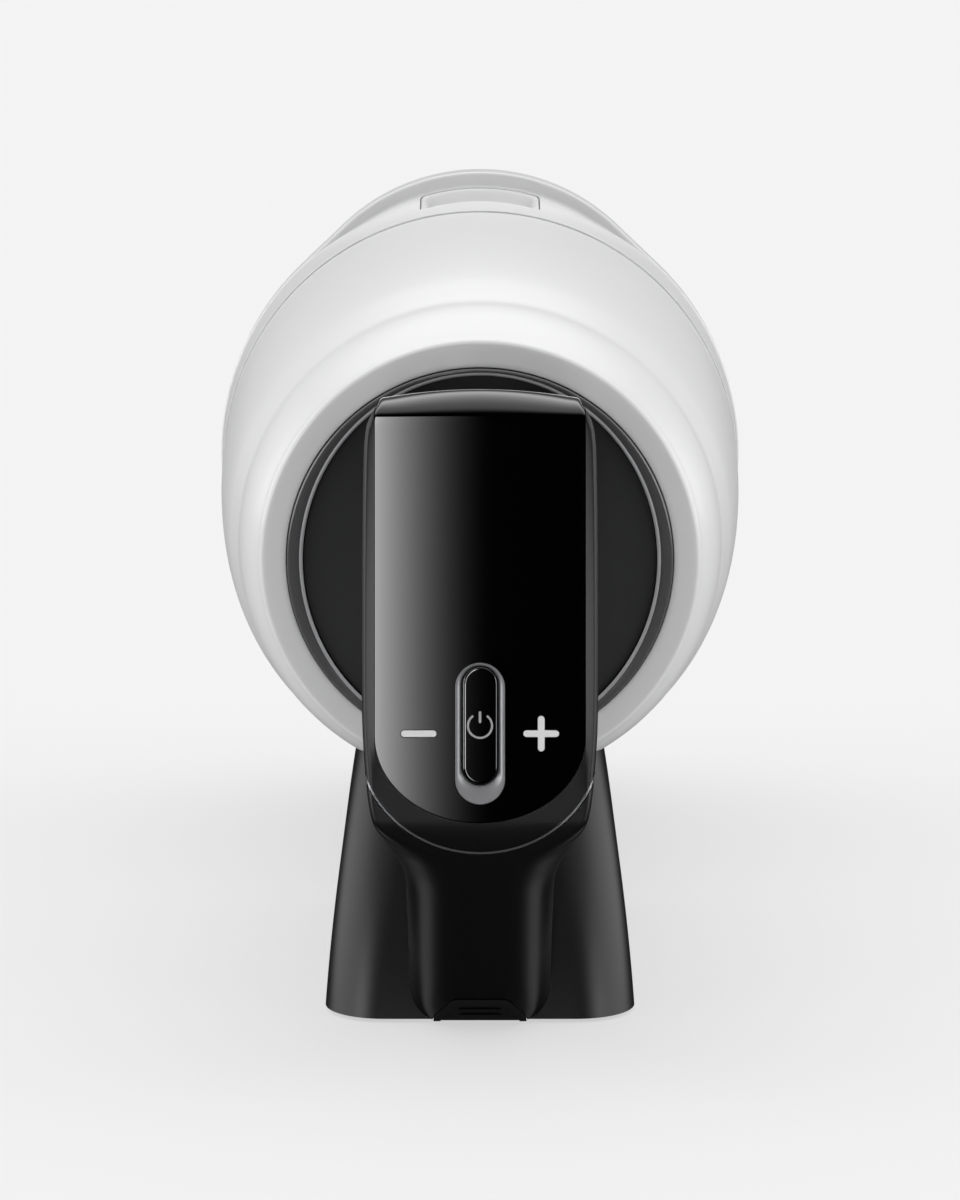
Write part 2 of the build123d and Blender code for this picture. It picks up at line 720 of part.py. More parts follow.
def add_glyph(depth, cross):
    """Minus bar, or plus cross, standing in the panel plane at its key's place."""
    x = GLYPH_X if cross else -GLYPH_X
    with BuildSketch(PANEL.offset(0.1)) as glyph:
        with Locations((x, 0.5)):
            SlotOverall(GLYPH_L, GLYPH_W)
            if cross:
                SlotOverall(GLYPH_L, GLYPH_W, rotation=90)
    extrude(glyph.sketch, amount=-depth)


def make_controls():
    """Power surround, power key with its symbol, minus and plus keys, and the board below them."""
    with BuildPart() as power_trim:
        with BuildSketch(PANEL.offset(0.1)):
            with Locations((0, 0.5)):
                SlotOverall(PILL_H, PILL_W, rotation=90)
            with Locations((0, 0.5 + KEY_RISE)):
                SlotOverall(KEY_H + 2 * FIT, KEY_W + 2 * FIT, rotation=90, mode=Mode.SUBTRACT)
        extrude(amount=-2.6)
    save(power_trim, "power_trim")

    key_centre = (0, 0.5 + KEY_RISE)
    with BuildPart() as power_button:
        with BuildSketch(PANEL.offset(0.2)):
            with Locations(key_centre):
                SlotOverall(KEY_H, KEY_W, rotation=90)
        extrude(amount=-4.6)
        with BuildSketch(PANEL.offset(0.2)):
            with Locations(key_centre):
                Circle(SYMBOL_R + 0.1)
        extrude(amount=-0.4, mode=Mode.SUBTRACT)
    save(power_button, "power_button")

    with BuildPart() as power_symbol:
        with BuildSketch(PANEL.offset(0.22)):
            with Locations(key_centre):
                Circle(SYMBOL_R)
                Circle(SYMBOL_R - SYMBOL_LINE, mode=Mode.SUBTRACT)
                Rectangle(2.6, SYMBOL_R + 0.4, align=(Align.CENTER, Align.MIN), mode=Mode.SUBTRACT)
                Rectangle(SYMBOL_LINE, SYMBOL_R + 0.05, align=(Align.CENTER, Align.MIN))
        extrude(amount=-0.4)
    save(power_symbol, "power_symbol")

    for name, cross in (("minus_key", False), ("plus_key", True)):
        with BuildPart() as key:
            add_glyph(4.3, cross)
        save(key, name)

    switch_places = [(0, 0.5 + KEY_RISE), (-GLYPH_X, 0.5), (GLYPH_X, 0.5)]
    with BuildPart() as control_board:
        with BuildSketch(PANEL.offset(-6.4)):
            with Locations((0, 12.0)):
                RectangleRounded(36.0, 44.0, 3.0)
        extrude(amount=-1.6)
        with BuildSketch(PANEL.offset(-6.4)):
            with Locations(*switch_places):
                Rectangle(3.6, 3.6)
        extrude(amount=0.7)
    save(control_board, "control_board")

    with BuildPart() as handle_screws:
        for x in SCREW_X:
            with Locations(station(3.9, SCREW_Z) * Location((x, 0, 0))):
                Cylinder(3.4, 2.2, align=(Align.CENTER, Align.CENTER, Align.MIN))
            with Locations(station(-5.0, SCREW_Z) * Location((x, 0, 0))):
                Cylinder(SCREW_R, 9.0, align=(Align.CENTER, Align.CENTER, Align.MIN))
    save(handle_screws, "handle_screws")


# ---------------------------------------------------------------- dust bin
def make_bin():
    """Clear cup with its cyclone insert, pre-filter and seals; it slides forward off the collar."""
    cup = [(BIN_Q, 58.6), (BIN_Q + 8.0, 58.4), (BIN_Q + 50.0, 56.6), (BIN_END, 53.4)]
    with BuildPart() as bin_cup:
        with BuildSketch(BIN_SIDE):
            with BuildLine():
                Polyline(
                    *cup, (BIN_END, 51.2), (BIN_Q + 50.0, 54.4), (BIN_Q + 3.0, 56.2),
                    (BIN_Q + 3.0, 45.0), (BIN_Q, 45.0), close=True,
                )
            make_face()
        revolve(axis=BIN_AXIS)
        # round hatch underneath, with a short boss that meets the inlet port
        with BuildSketch(level(PORT_TOP + 1.4)):
            with Locations((0, PORT_Q)):
                Circle(13.4)
        extrude(amount=3.4)
        with BuildSketch(level(PORT_TOP)):
            with Locations((0, PORT_Q)):
                Circle(PORT_R)
        extrude(amount=12, mode=Mode.SUBTRACT)
    save(bin_cup, "bin_cup")

    with BuildPart() as bin_seal:
        add_tube(BIN_Q + 3.1, BIN_Q + 6.1, 44.8, 41.6, BIN_Z)
    save(bin_seal, "bin_seal")

    with BuildPart() as cyclone_body:
        add_tube(BIN_Q, BIN_Q + 3.0, 44.8, 24.0, BIN_Z)
        add_tube(BIN_Q + 3.0, BIN_Q + 24.0, 41.4, 38.8, BIN_Z)
        add_tube(BIN_Q + 22.0, BIN_Q + 24.0, 38.8, 30.4, BIN_Z)
        # outlet tube on the axis, held by three ribs
        add_tube(BIN_Q + 18.0, BIN_Q + 44.0, 8.4, 7.2, BIN_Z)
        with BuildSketch(station(BIN_Q + 18.0, BIN_Z)):
            with PolarLocations(23.6, 3, start_angle=30):
                Rectangle(31.0, 1.6)
        extrude(amount=1.8)
    save(cyclone_body, "cyclone_body")

    rows = 7
    around = 18
    with BuildPart() as cyclone_shroud:
        add_tube(BIN_Q + 24.1, BIN_Q + 62.0, 31.0, 29.6, BIN_Z)
        for row in range(rows):
            with Locations(station(BIN_Q + 29.0 + 4.6 * row, BIN_Z)):
                with PolarLocations(30.3, around, start_angle=10 * (row % 2)):
                    Box(6.0, 2.6, 2.6, mode=Mode.SUBTRACT)
        add_tube(BIN_Q + 60.0, BIN_Q + 62.0, 29.6, 0, BIN_Z)
    save(cyclone_shroud, "cyclone_shroud")

    with BuildPart() as cyclone_cones:
        for angle in range(0, 360, 60):
            axis_point = station(BIN_Q + 20.0, BIN_Z) * Location((0, 0, 0), (0, 0, angle)) * Location((19.0, 0, 0))
            with Locations(axis_point):
                Cone(8.6, 3.6, 36.0, align=(Align.CENTER, Align.CENTER, Align.MIN))
                Cone(7.6, 2.6, 36.0, align=(Align.CENTER, Align.CENTER, Align.MIN), mode=Mode.SUBTRACT)
    save(cyclone_cones, "cyclone_cones")

    with BuildPart() as pre_filter:
        add_tube(BIN_Q + 3.2, BIN_Q + 17.0, 38.4, 9.0, BIN_Z)
    save(pre_filter, "pre_filter")


def make_lid():
    """Round front lid with its seal, hinge pin and latch."""
    lid_q = BIN_END + 0.4
    with BuildPart() as bin_lid:
        add_tube(lid_q, lid_q + 3.0, 54.2, 0, BIN_Z)
        with BuildSketch(BIN_SIDE):
            with BuildLine():
                Polyline((lid_q + 3.0, 0), (lid_q + 3.0, 52.0), (lid_q + 4.6, 46.0), (lid_q + 5.4, 0), close=True)
            make_face()
        revolve(axis=BIN_AXIS)
        for x in (-12.0, 12.0):
            with BuildSketch(SIDE.offset(x - 4.0)):
                with Locations((HINGE_Q, HINGE_Z)):
                    Circle(2.5)
                with Locations((HINGE_Q, HINGE_Z + 3.0)):
                    Rectangle(3.0, 6.0)
            extrude(amount=8.0)
        with BuildSketch(SIDE.offset(-30)):
            with Locations((HINGE_Q, HINGE_Z)):
                Circle(1.3)
        extrude(amount=60, mode=Mode.SUBTRACT)
        add_block(7.0 + FIT, lid_q - 1, lid_q + 9, BIN_Z + 47.0, BIN_Z + 60.0, mode=Mode.SUBTRACT)
    save(bin_lid, "bin_lid")

    with BuildPart() as lid_seal:
        add_tube(lid_q - 2.6, lid_q - 0.05, 50.4, 47.8, BIN_Z)
    save(lid_seal, "lid_seal")

    with BuildPart() as bin_hinge_bracket:
        for x in (0.0, -20.6, 20.6):
            with BuildSketch(SIDE.offset(x - (7.6 if x == 0 else 4.2))):
                with Locations((HINGE_Q, HINGE_Z)):
                    Circle(2.2)
                with BuildLine():
                    Polyline(
                        (HINGE_Q - 6.0, HINGE_Z + 4.4), (HINGE_Q - 6.0, HINGE_Z + 1.0), (HINGE_Q, HINGE_Z - 2.2),
                        (HINGE_Q, HINGE_Z + 2.1), (HINGE_Q - 3.6, HINGE_Z + 2.1), (HINGE_Q - 3.6, HINGE_Z + 4.4),
                        close=True,
                    )
                make_face()
            extrude(amount=15.2 if x == 0 else 8.4)
        with BuildSketch(SIDE.offset(-30)):
            with Locations((HINGE_Q, HINGE_Z)):
                Circle(1.3)
        extrude(amount=60, mode=Mode.SUBTRACT)
        with BuildSketch(BIN_SIDE):
            with BuildLine():
                Polyline((BIN_Q, 0), (BIN_Q, 60), (BIN_Q + 50.0, 56.7), (BIN_END + 0.2, 53.5), (BIN_END + 0.2, 0), close=True)
            make_face()
        revolve(axis=BIN_AXIS, mode=Mode.SUBTRACT)
    save(bin_hinge_bracket, "bin_hinge_bracket")

    with BuildPart() as lid_hinge_pin:
        with BuildSketch(SIDE.offset(-24.6)):
            with Locations((HINGE_Q, HINGE_Z)):
                Circle(1.24)
        extrude(amount=49.2)
    save(lid_hinge_pin, "lid_hinge_pin")

    with BuildPart() as lid_latch:
        with BuildSketch(SIDE):
            with BuildLine():
                Polyline(
                    (lid_q - 7.0, BIN_Z + 55.0), (lid_q - 7.0, BIN_Z + 57.4), (lid_q + 5.0, BIN_Z + 57.4),
                    (lid_q + 5.0, BIN_Z + 48.4), (lid_q + 0.2, BIN_Z + 48.4), (lid_q + 0.2, BIN_Z + 55.0),
                    close=True,
                )
            make_face()
        extrude(amount=7.0, both=True)
    save(lid_latch, "lid_latch")


# ---------------------------------------------------------------- suction inlet
def make_inlet():
    """Tube under the bin with the wand socket at its mouth and a port up into the bin."""
    with BuildPart() as inlet_tube:
        add_tube(TUBE_Q0, TUBE_END, TUBE_R, 0, TUBE_Z)
        with BuildSketch(level(TUBE_Z + 12.0)):
            with Locations((0, PORT_Q)):
                Circle(PORT_R + 2.4)
        extrude(amount=PORT_TOP - TUBE_Z - 12.0)
        with BuildSketch(level(TUBE_Z)):
            with Locations((0, PORT_Q)):
                Circle(PORT_R)
        extrude(amount=40, mode=Mode.SUBTRACT)
        add_tube(TUBE_Q0 + 2.0, TUBE_END, PASSAGE_R, 0, TUBE_Z, mode=Mode.SUBTRACT)
        add_tube(TUBE_END - SOCKET_LENGTH, TUBE_END, SOCKET_R, 0, TUBE_Z, mode=Mode.SUBTRACT)
    save(inlet_tube, "inlet_tube")

    with BuildPart() as port_seal:
        with BuildSketch(level(PORT_TOP + 0.05)):
            with Locations((0, PORT_Q)):
                Circle(PORT_R + 2.2)
                Circle(PORT_R + 0.2, mode=Mode.SUBTRACT)
        extrude(amount=1.0)
    save(port_seal, "port_seal")

    with BuildPart() as inlet_collar:
        add_tube(TUBE_END - 22.0, TUBE_END, 20.4, TUBE_R + 0.1, TUBE_Z)
        add_block(6.5 + FIT, TUBE_END - 18.0, TUBE_END - 5.0, TUBE_Z + 15.0, TUBE_Z + 25.0, mode=Mode.SUBTRACT)
    save(inlet_collar, "inlet_collar")

    with BuildPart() as wand_release_button:
        with Locations((0, REAR_Y + TUBE_END - 11.5, TUBE_Z + 20.15)):
            Box(13.0, 12.4, 2.3)
        edges = wand_release_button.edges().filter_by(Axis.Z)
        fillet(edges, 2.0)
    save(wand_release_button, "wand_release_button")

    with BuildPart() as tube_saddle:
        add_block(13.0, TUBE_Q0 + 1.0, 126.0, TUBE_Z + 2.0, BIN_Z - 50.0)
        add_tube(TUBE_Q0 - 1, 130, TUBE_R + 0.1, 0, TUBE_Z, mode=Mode.SUBTRACT)
        add_tube(TUBE_Q0 - 1, 130, 62.9, 0, BIN_Z, mode=Mode.SUBTRACT)
    save(tube_saddle, "tube_saddle")

    with BuildPart() as wand_contacts:
        for x in (-5.0, 0.0, 5.0):
            with Locations(station(TUBE_END + 0.05, TUBE_Z + 19.3) * Location((x, 0, 0))):
                Cylinder(0.7, 1.4, align=(Align.CENTER, Align.CENTER, Align.MIN))
    save(wand_contacts, "wand_contacts")


make_rear_housing()
make_rear_trim_ring()
make_rear_cover()
make_filter()
make_front_collar()
make_bin_release_button()
make_motor()
make_battery_sleeve()
make_battery()
make_terminal_block()
make_handle()
make_controls()
make_bin()
make_lid()
make_inlet()
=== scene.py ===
"""Looks of the cordless vacuum hand unit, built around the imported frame.

Points are (x, q, z) in millimetres: x across, z up, and q the station, measured forward from the
rear face of the motor housing. place() turns them into the frame's metres.
"""

import json
from math import acos, asin, atan2, cos, pi, radians, sin, sqrt, tan

import bmesh
import bpy
from mathutils import Matrix, Vector


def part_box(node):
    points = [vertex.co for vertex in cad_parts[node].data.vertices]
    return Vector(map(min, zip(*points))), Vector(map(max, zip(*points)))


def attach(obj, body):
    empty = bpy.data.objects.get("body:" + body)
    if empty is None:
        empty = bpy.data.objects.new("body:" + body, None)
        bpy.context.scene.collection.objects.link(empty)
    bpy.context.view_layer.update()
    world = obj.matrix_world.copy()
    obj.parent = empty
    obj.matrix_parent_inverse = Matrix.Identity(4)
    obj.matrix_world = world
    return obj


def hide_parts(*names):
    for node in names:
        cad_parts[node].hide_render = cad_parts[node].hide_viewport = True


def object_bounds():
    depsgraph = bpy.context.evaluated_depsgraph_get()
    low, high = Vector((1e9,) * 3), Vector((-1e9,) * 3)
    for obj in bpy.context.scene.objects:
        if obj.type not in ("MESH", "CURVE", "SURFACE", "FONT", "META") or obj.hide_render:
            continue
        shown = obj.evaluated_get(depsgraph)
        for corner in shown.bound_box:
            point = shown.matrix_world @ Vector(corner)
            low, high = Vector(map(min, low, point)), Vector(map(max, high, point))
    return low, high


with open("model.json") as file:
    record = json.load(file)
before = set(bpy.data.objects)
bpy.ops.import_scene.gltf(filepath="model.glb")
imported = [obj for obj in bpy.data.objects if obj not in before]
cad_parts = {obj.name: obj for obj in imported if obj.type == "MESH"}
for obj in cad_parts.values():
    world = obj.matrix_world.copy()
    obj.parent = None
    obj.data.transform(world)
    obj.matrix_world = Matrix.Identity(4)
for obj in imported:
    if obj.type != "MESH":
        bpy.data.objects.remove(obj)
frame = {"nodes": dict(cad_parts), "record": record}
cad_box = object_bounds()

MM = 0.001
TURN = 2 * pi


def span(node):
    """Lowest and highest corner of a CAD node, in millimetres."""
    low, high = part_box(node)
    return low / MM, high / MM


# ---- places read from the frame ----
RING_LOW, RING_HIGH = span("rear_trim_ring")
SHELL_LOW, SHELL_HIGH = span("rear_housing")
COVER_LOW, COVER_HIGH = span("rear_cover")
COLLAR_LOW, COLLAR_HIGH = span("front_collar")
CUP_LOW, CUP_HIGH = span("bin_cup")
SEAL_LOW, SEAL_HIGH = span("bin_seal")

REAR_Y = SHELL_LOW.y
AXIS_Z = (RING_LOW.z + RING_HIGH.z) / 2
RING_R = (RING_HIGH.x - RING_LOW.x) / 2
COVER_RX = (COVER_HIGH.x - COVER_LOW.x) / 2
COVER_RZ = (COVER_HIGH.z - COVER_LOW.z) / 2
SEAM_Q = SHELL_HIGH.y - REAR_Y
BIN_Z = (SEAL_LOW.z + SEAL_HIGH.z) / 2
BORE_LIFT = BIN_Z - AXIS_Z
COLLAR_Q = COLLAR_LOW.y - REAR_Y
COLLAR_END = COLLAR_HIGH.y - REAR_Y
COLLAR_R = COLLAR_HIGH.x
BIN_Q = CUP_LOW.y - REAR_Y
BIN_END = CUP_HIGH.y - REAR_Y
LID_FACE_Q = span("bin_lid")[1].y - REAR_Y
FOOT_Z = span("battery_sleeve")[0].z


# ---- mesh tools ----
def place(point):
    """A point (x, station, z) in millimetres as a frame point in metres."""
    x, q, z = point
    return Vector((x, REAR_Y + q, z)) * MM


def new_object(name, mesh):
    """Object linked into the scene."""
    thing = bpy.data.objects.new(name, mesh)
    bpy.context.scene.collection.objects.link(thing)
    return thing


def solid(name, points, faces):
    """Mesh object from millimetre points, with its normals turned outward."""
    mesh = bpy.data.meshes.new(name)
    mesh.from_pydata([place(p) for p in points], [], faces)
    work = bmesh.new()
    work.from_mesh(mesh)
    bmesh.ops.remove_doubles(work, verts=work.verts, dist=1e-7)
    bmesh.ops.recalc_face_normals(work, faces=work.faces)
    work.to_mesh(mesh)
    work.free()
    return new_object(name, mesh)


def skin(name, rows, closed=False):
    """Surface through round rows; closed joins the last row to the first, else both are capped."""
    count = len(rows[0])
    points = [p for row in rows for p in row]
    faces = []
    bands = len(rows) if closed else len(rows) - 1
    for i in range(bands):
        a, b = i * count, ((i + 1) % len(rows)) * count
        for j in range(count):
            k = (j + 1) % count
            faces.append((a + j, a + k, b + k, b + j))
    if not closed:
        faces.append(tuple(range(count)))
        faces.append(tuple(range(len(points) - count, len(points))))
    return solid(name, points, faces)


def oval_row(q, rx, rz, centre_z, around=256):
    """Row of points round an oval at one station."""
    turns = [TURN * i / around for i in range(around)]
    return [(rx * cos(a), q, centre_z + rz * sin(a)) for a in turns]


def round_row(q, r, centre_z, around=256):
    """Row of points round a circle at one station."""
    return oval_row(q, r, r, centre_z, around)


def sides(*angles):
    """Sine and cosine of each angle in degrees."""
    return [(sin(radians(a)), cos(radians(a))) for a in angles]


def lathe(name, profile, centre_z, around=192):
    """Closed profile of (station, radius) turned about a level axis."""
    rows = []
    for i in range(around):
        a = TURN * i / around
        rows.append([(r * cos(a), q, centre_z + r * sin(a)) for q, r in profile])
    return skin(name, rows, closed=True)


def prism(name, outline, low, high, axis="y"):
    """Straight extrusion of an outline: along the stations ("y"), across ("x") or upright ("z")."""
    orders = {"y": lambda u, v, w: (u, w, v), "x": lambda u, v, w: (w, u, v), "z": lambda u, v, w: (u, v, w)}
    order = orders[axis]
    return skin(name, [[order(u, v, w) for u, v in outline] for w in (low, high)])


def arc(cx, cy, r, start, end, steps=8):
    """Points on an arc, in degrees, both ends included."""
    found = []
    for i in range(steps + 1):
        a = radians(start + (end - start) * i / steps)
        found.append((cx + r * cos(a), cy + r * sin(a)))
    return found


def rounded(points, radii, steps=8):
    """A polyline with its corners rounded; one radius per point, 0 for a sharp one."""
    found = []
    for i, point in enumerate(points):
        here = Vector(point)
        radius = radii[i]
        if radius == 0 or i in (0, len(points) - 1):
            found.append(tuple(here))
            continue
        back = (Vector(points[i - 1]) - here).normalized()
        onward = (Vector(points[i + 1]) - here).normalized()
        half = acos(max(-1.0, min(1.0, back.dot(onward)))) / 2
        reach = radius / tan(half)
        centre = here + (back + onward).normalized() * radius / sin(half)
        first = here + back * reach - centre
        last = here + onward * reach - centre
        sweep = first.angle_signed(last)
        for k in range(steps + 1):
            found.append(tuple(centre + Matrix.Rotation(-sweep * k / steps, 2) @ first))
    return found


def loop_corners(points, radius, steps=6):
    """A closed polygon with every corner rounded by the same radius."""
    count = len(points)
    found = []
    for i in range(count):
        trio = [points[i - 1], points[i], points[(i + 1) % count]]
        found += rounded(trio, (0, radius, 0), steps)[1:-1]
    return found


def resample(path, count):
    """A polyline divided into equal lengths."""
    points = [Vector(p) for p in path]
    lengths = [0.0]
    for a, b in zip(points, points[1:]):
        lengths.append(lengths[-1] + (b - a).length)
    found = []
    k = 0
    for i in range(count):
        want = lengths[-1] * i / (count - 1)
        while k < len(points) - 2 and lengths[k + 1] < want:
            k += 1
        run = max(1e-9, lengths[k + 1] - lengths[k])
        found.append(tuple(points[k].lerp(points[k + 1], (want - lengths[k]) / run)))
    return found


def blend_steps(t):
    """Smooth 0 to 1 ramp."""
    t = min(1.0, max(0.0, t))
    return t * t * (3 - 2 * t)


def table_value(points, at):
    """Smooth curve through (position, value) points with rising positions."""
    if at <= points[0][0]:
        return points[0][1]
    for i in range(len(points) - 1):
        (a, va), (b, vb) = points[i], points[i + 1]
        if at <= b:
            slopes = []
            for k in (i, i + 1):
                before, after = points[max(0, k - 1)], points[min(len(points) - 1, k + 1)]
                slopes.append((after[1] - before[1]) / (after[0] - before[0]))
            t = (at - a) / (b - a)
            run = b - a
            return (
                va * (2 * t ** 3 - 3 * t * t + 1) + slopes[0] * run * (t ** 3 - 2 * t * t + t)
                + vb * (3 * t * t - 2 * t ** 3) + slopes[1] * run * (t ** 3 - t * t)
            )
    return points[-1][1]


def settle(thing):
    """Applies an object's modifiers to its mesh."""
    graph = bpy.context.evaluated_depsgraph_get()
    mesh = bpy.data.meshes.new_from_object(thing.evaluated_get(graph))
    thing.modifiers.clear()
    thing.data = mesh
    return thing


def carve(thing, *tools, operation="DIFFERENCE"):
    """Cuts or joins an object with others, which are then removed."""
    for tool in tools:
        step = thing.modifiers.new("carve", "BOOLEAN")
        step.operation = operation
        step.solver = "EXACT"
        step.object = tool
    settle(thing)
    for tool in tools:
        bpy.data.objects.remove(tool)
    return thing


def keep(thing, *tools):
    """The part of an object that lies inside every other one."""
    return carve(thing, *tools, operation="INTERSECT")


def soften(thing, width, segments=2, angle=40):
    """Rounds an object's sharp edges."""
    step = thing.modifiers.new("soften", "BEVEL")
    step.width = width * MM
    step.segments = segments
    step.limit_method = "ANGLE"
    step.angle_limit = radians(angle)
    step.use_clamp_overlap = True
    step.miter_outer = "MITER_ARC"
    return settle(thing)


def shade(mesh, angle):
    """Smooth shading that breaks at edges sharper than an angle in degrees."""
    mesh.polygons.foreach_set("use_smooth", [True] * len(mesh.polygons))
    mesh.set_sharp_from_angle(angle=radians(angle))


def finish_piece(thing, body, slot, node, crease=35, surface=None):
    """Shading, material picked by slot, and body of a piece; hides the CAD node that it stands for."""
    shade(thing.data, crease)
    step = thing.modifiers.new("even_normals", "WEIGHTED_NORMAL")
    step.keep_sharp = True
    settle(thing)
    thing.data.materials.clear()
    thing.data.materials.append(LOOKS[surface or slot])
    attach(thing, body)
    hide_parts(node)
    return thing


# ---- materials ----
def set_inputs(node, values):
    """Values of a node's inputs, by name or number."""
    for key, value in values.items():
        node.inputs[key].default_value = value


def add_node(tree, kind, values=None, **settings):
    """Shader node of a kind, with its settings and input values."""
    node = tree.nodes.new("ShaderNode" + kind)
    for key, value in settings.items():
        setattr(node, key, value)
    set_inputs(node, values or {})
    return node


def look(name, colour, roughness, metallic=0.0, specular=0.5, coat=0.0, coat_roughness=0.05,
         grain=0.0, grain_size=0.25, patchy=0.03, sheen=0.0, transmission=0.0, ior=1.5, streaks=None):
    """Principled material with a fine moulded grain and slow changes of colour and roughness.

    grain is the relief in millimetres, grain_size its width; streaks stretches it, as brushing does.
    """
    material = bpy.data.materials.new(name)
    material.use_nodes = True
    tree, link = material.node_tree, material.node_tree.links.new
    shader = tree.nodes["Principled BSDF"]
    set_inputs(shader, {
        "Metallic": metallic, "Specular IOR Level": specular, "Sheen Weight": sheen, "IOR": ior,
        "Coat Weight": coat, "Coat Roughness": coat_roughness, "Transmission Weight": transmission,
    })
    where = add_node(tree, "TexCoord")
    slow = add_node(tree, "TexNoise", {"Scale": 22.0, "Detail": 3.0})
    link(where.outputs["Object"], slow.inputs["Vector"])
    tint = add_node(tree, "Mix", data_type="RGBA")
    tint.inputs[6].default_value = (*[c * (1 - patchy) for c in colour], 1)
    tint.inputs[7].default_value = (*[min(1.0, c * (1 + patchy)) for c in colour], 1)
    link(slow.outputs["Fac"], tint.inputs[0])
    link(tint.outputs[2], shader.inputs["Base Color"])

    fine = add_node(tree, "TexNoise", {"Scale": 1.0 / (grain_size * MM), "Detail": 2.0})
    grain_place = where.outputs["Object"]
    if streaks:
        stretch = add_node(tree, "Mapping", {"Scale": streaks})
        link(grain_place, stretch.inputs["Vector"])
        grain_place = stretch.outputs["Vector"]
    link(grain_place, fine.inputs["Vector"])
    limits = {"To Min": max(0.01, roughness * 0.85), "To Max": min(1.0, roughness * 1.15)}
    rough = add_node(tree, "MapRange", limits)
    link(fine.outputs["Fac"], rough.inputs["Value"])
    link(rough.outputs["Result"], shader.inputs["Roughness"])

    if grain > 0:
        bump = add_node(tree, "Bump", {"Strength": 1.0, "Distance": grain * MM})
        link(fine.outputs["Fac"], bump.inputs["Height"])
        link(bump.outputs["Normal"], shader.inputs["Normal"])
    return material


# colour, roughness, and what else differs from a plain moulded surface
SURFACES = {
    "white_shell": ((0.8, 0.8, 0.805), 0.34, dict(coat=0.25, coat_roughness=0.18, grain=0.0015,
        grain_size=0.4, patchy=0.012)),
    "grey_collar": ((0.76, 0.76, 0.765), 0.36, dict(coat=0.2, coat_roughness=0.2, grain=0.0015,
        grain_size=0.4, patchy=0.012)),
    "gloss_ring": ((0.1, 0.1, 0.103), 0.26, dict(coat=0.5, coat_roughness=0.1, patchy=0.05)),
    "satin_black": ((0.0045, 0.0045, 0.0047), 0.36, dict(specular=0.4, grain=0.004, grain_size=0.22,
        patchy=0.08)),
    "gloss_black": ((0.0006, 0.0006, 0.0006), 0.03, dict(coat=1.0, coat_roughness=0.02, patchy=0.05)),
    "cover_black": ((0.034, 0.0345, 0.0345), 0.5, dict(specular=0.25, grain=0.005, grain_size=0.25,
        patchy=0.05)),
    "button_black": ((0.012, 0.012, 0.012), 0.34, dict(specular=0.5, grain=0.004, grain_size=0.25,
        patchy=0.05)),
    "soft_grip": ((0.006, 0.006, 0.0062), 0.6, dict(specular=0.25, grain=0.01, grain_size=0.3, patchy=0.1,
        sheen=0.15)),
    "bright_trim": ((0.26, 0.26, 0.27), 0.4, dict(metallic=0.8, patchy=0.02)),
    "silver": ((0.3, 0.3, 0.31), 0.42, dict(metallic=0.5, grain=0.002, grain_size=0.2)),
    "grey_symbol": ((0.42, 0.42, 0.43), 0.4, dict(grain=0.002)),
    "white_symbol": ((0.86, 0.86, 0.86), 0.4, dict(grain=0.002)),
    "inner_plastic": ((0.1, 0.1, 0.108), 0.48, dict(grain=0.006, grain_size=0.3, patchy=0.06)),
    "filter_media": ((0.72, 0.72, 0.69), 0.9, dict(specular=0.1, grain=0.05, grain_size=0.5, patchy=0.06,
        sheen=0.2)),
    "rubber": ((0.022, 0.022, 0.022), 0.7, dict(specular=0.3, grain=0.012, grain_size=0.35, patchy=0.1)),
    "steel": ((0.55, 0.55, 0.56), 0.28, dict(metallic=1.0, grain=0.003, grain_size=0.15,
        streaks=(1.0, 0.08, 1.0))),
    "perforated_steel": ((0.52, 0.53, 0.55), 0.3, dict(metallic=1.0, grain=0.003, grain_size=0.18,
        streaks=(1.0, 0.1, 1.0))),
    "machined_alloy": ((0.7, 0.7, 0.71), 0.25, dict(metallic=1.0, grain=0.003, grain_size=0.12,
        streaks=(1.0, 6.0, 1.0))),
    "copper": ((0.66, 0.28, 0.12), 0.3, dict(metallic=1.0, grain=0.05, grain_size=0.5,
        streaks=(1.0, 0.2, 1.0))),
    "brass": ((0.83, 0.64, 0.28), 0.24, dict(metallic=1.0, grain=0.002, grain_size=0.2)),
    "board": ((0.012, 0.11, 0.045), 0.35, dict(coat=0.4, grain=0.01, grain_size=0.8, patchy=0.12)),
    "cell_wrap": ((0.03, 0.16, 0.34), 0.3, dict(coat=0.3, grain=0.01, grain_size=1.0, patchy=0.05)),
    "smoked_clear": ((0.5, 0.51, 0.53), 0.05, dict(transmission=1.0, patchy=0.01)),
}
LOOKS = {name: look(name, colour, roughness, **more)
         for name, (colour, roughness, more) in SURFACES.items()}


# ---- motor housing ----
ANNULUS_R = 46.5         # the rear face is a shallow cone from the trim ring out to here
CONE_DEPTH = 0.5
SEAM_R = SHELL_HIGH.x
RISE_START = 8.0
RISE_POWER = 1.15
EDGE_R = 1.8             # round edge between the annulus and the shoulder
# radius against station: soft shoulder, shallow valley, then a flare that eases off towards the seam
FLARE = [(CONE_DEPTH + EDGE_R, ANNULUS_R + EDGE_R), (7.0, 50.4), (12.0, 52.1), (17.0, 53.2), (21.0, 53.6),
         (25.0, 54.6), (34.0, 56.6), (48.0, 58.4), (66.0, 59.8), (82.0, 60.5), (SEAM_Q, SEAM_R)]
WALL = 2.4
GAP = 0.15
SEAM_RIM = 0.45          # round edge of the housing at the ring and at the seam
VENT_LOW, VENT_HIGH, VENT_HALF = 64.0, 84.0, 1.3


def shell_radius(q):
    """Radius of the white housing at a station."""
    if q < CONE_DEPTH + EDGE_R:
        back = 1.0 - max(0.0, q - CONE_DEPTH) / EDGE_R
        return ANNULUS_R + EDGE_R * sqrt(max(0.0, 1.0 - back * back))
    return table_value(FLARE, q)


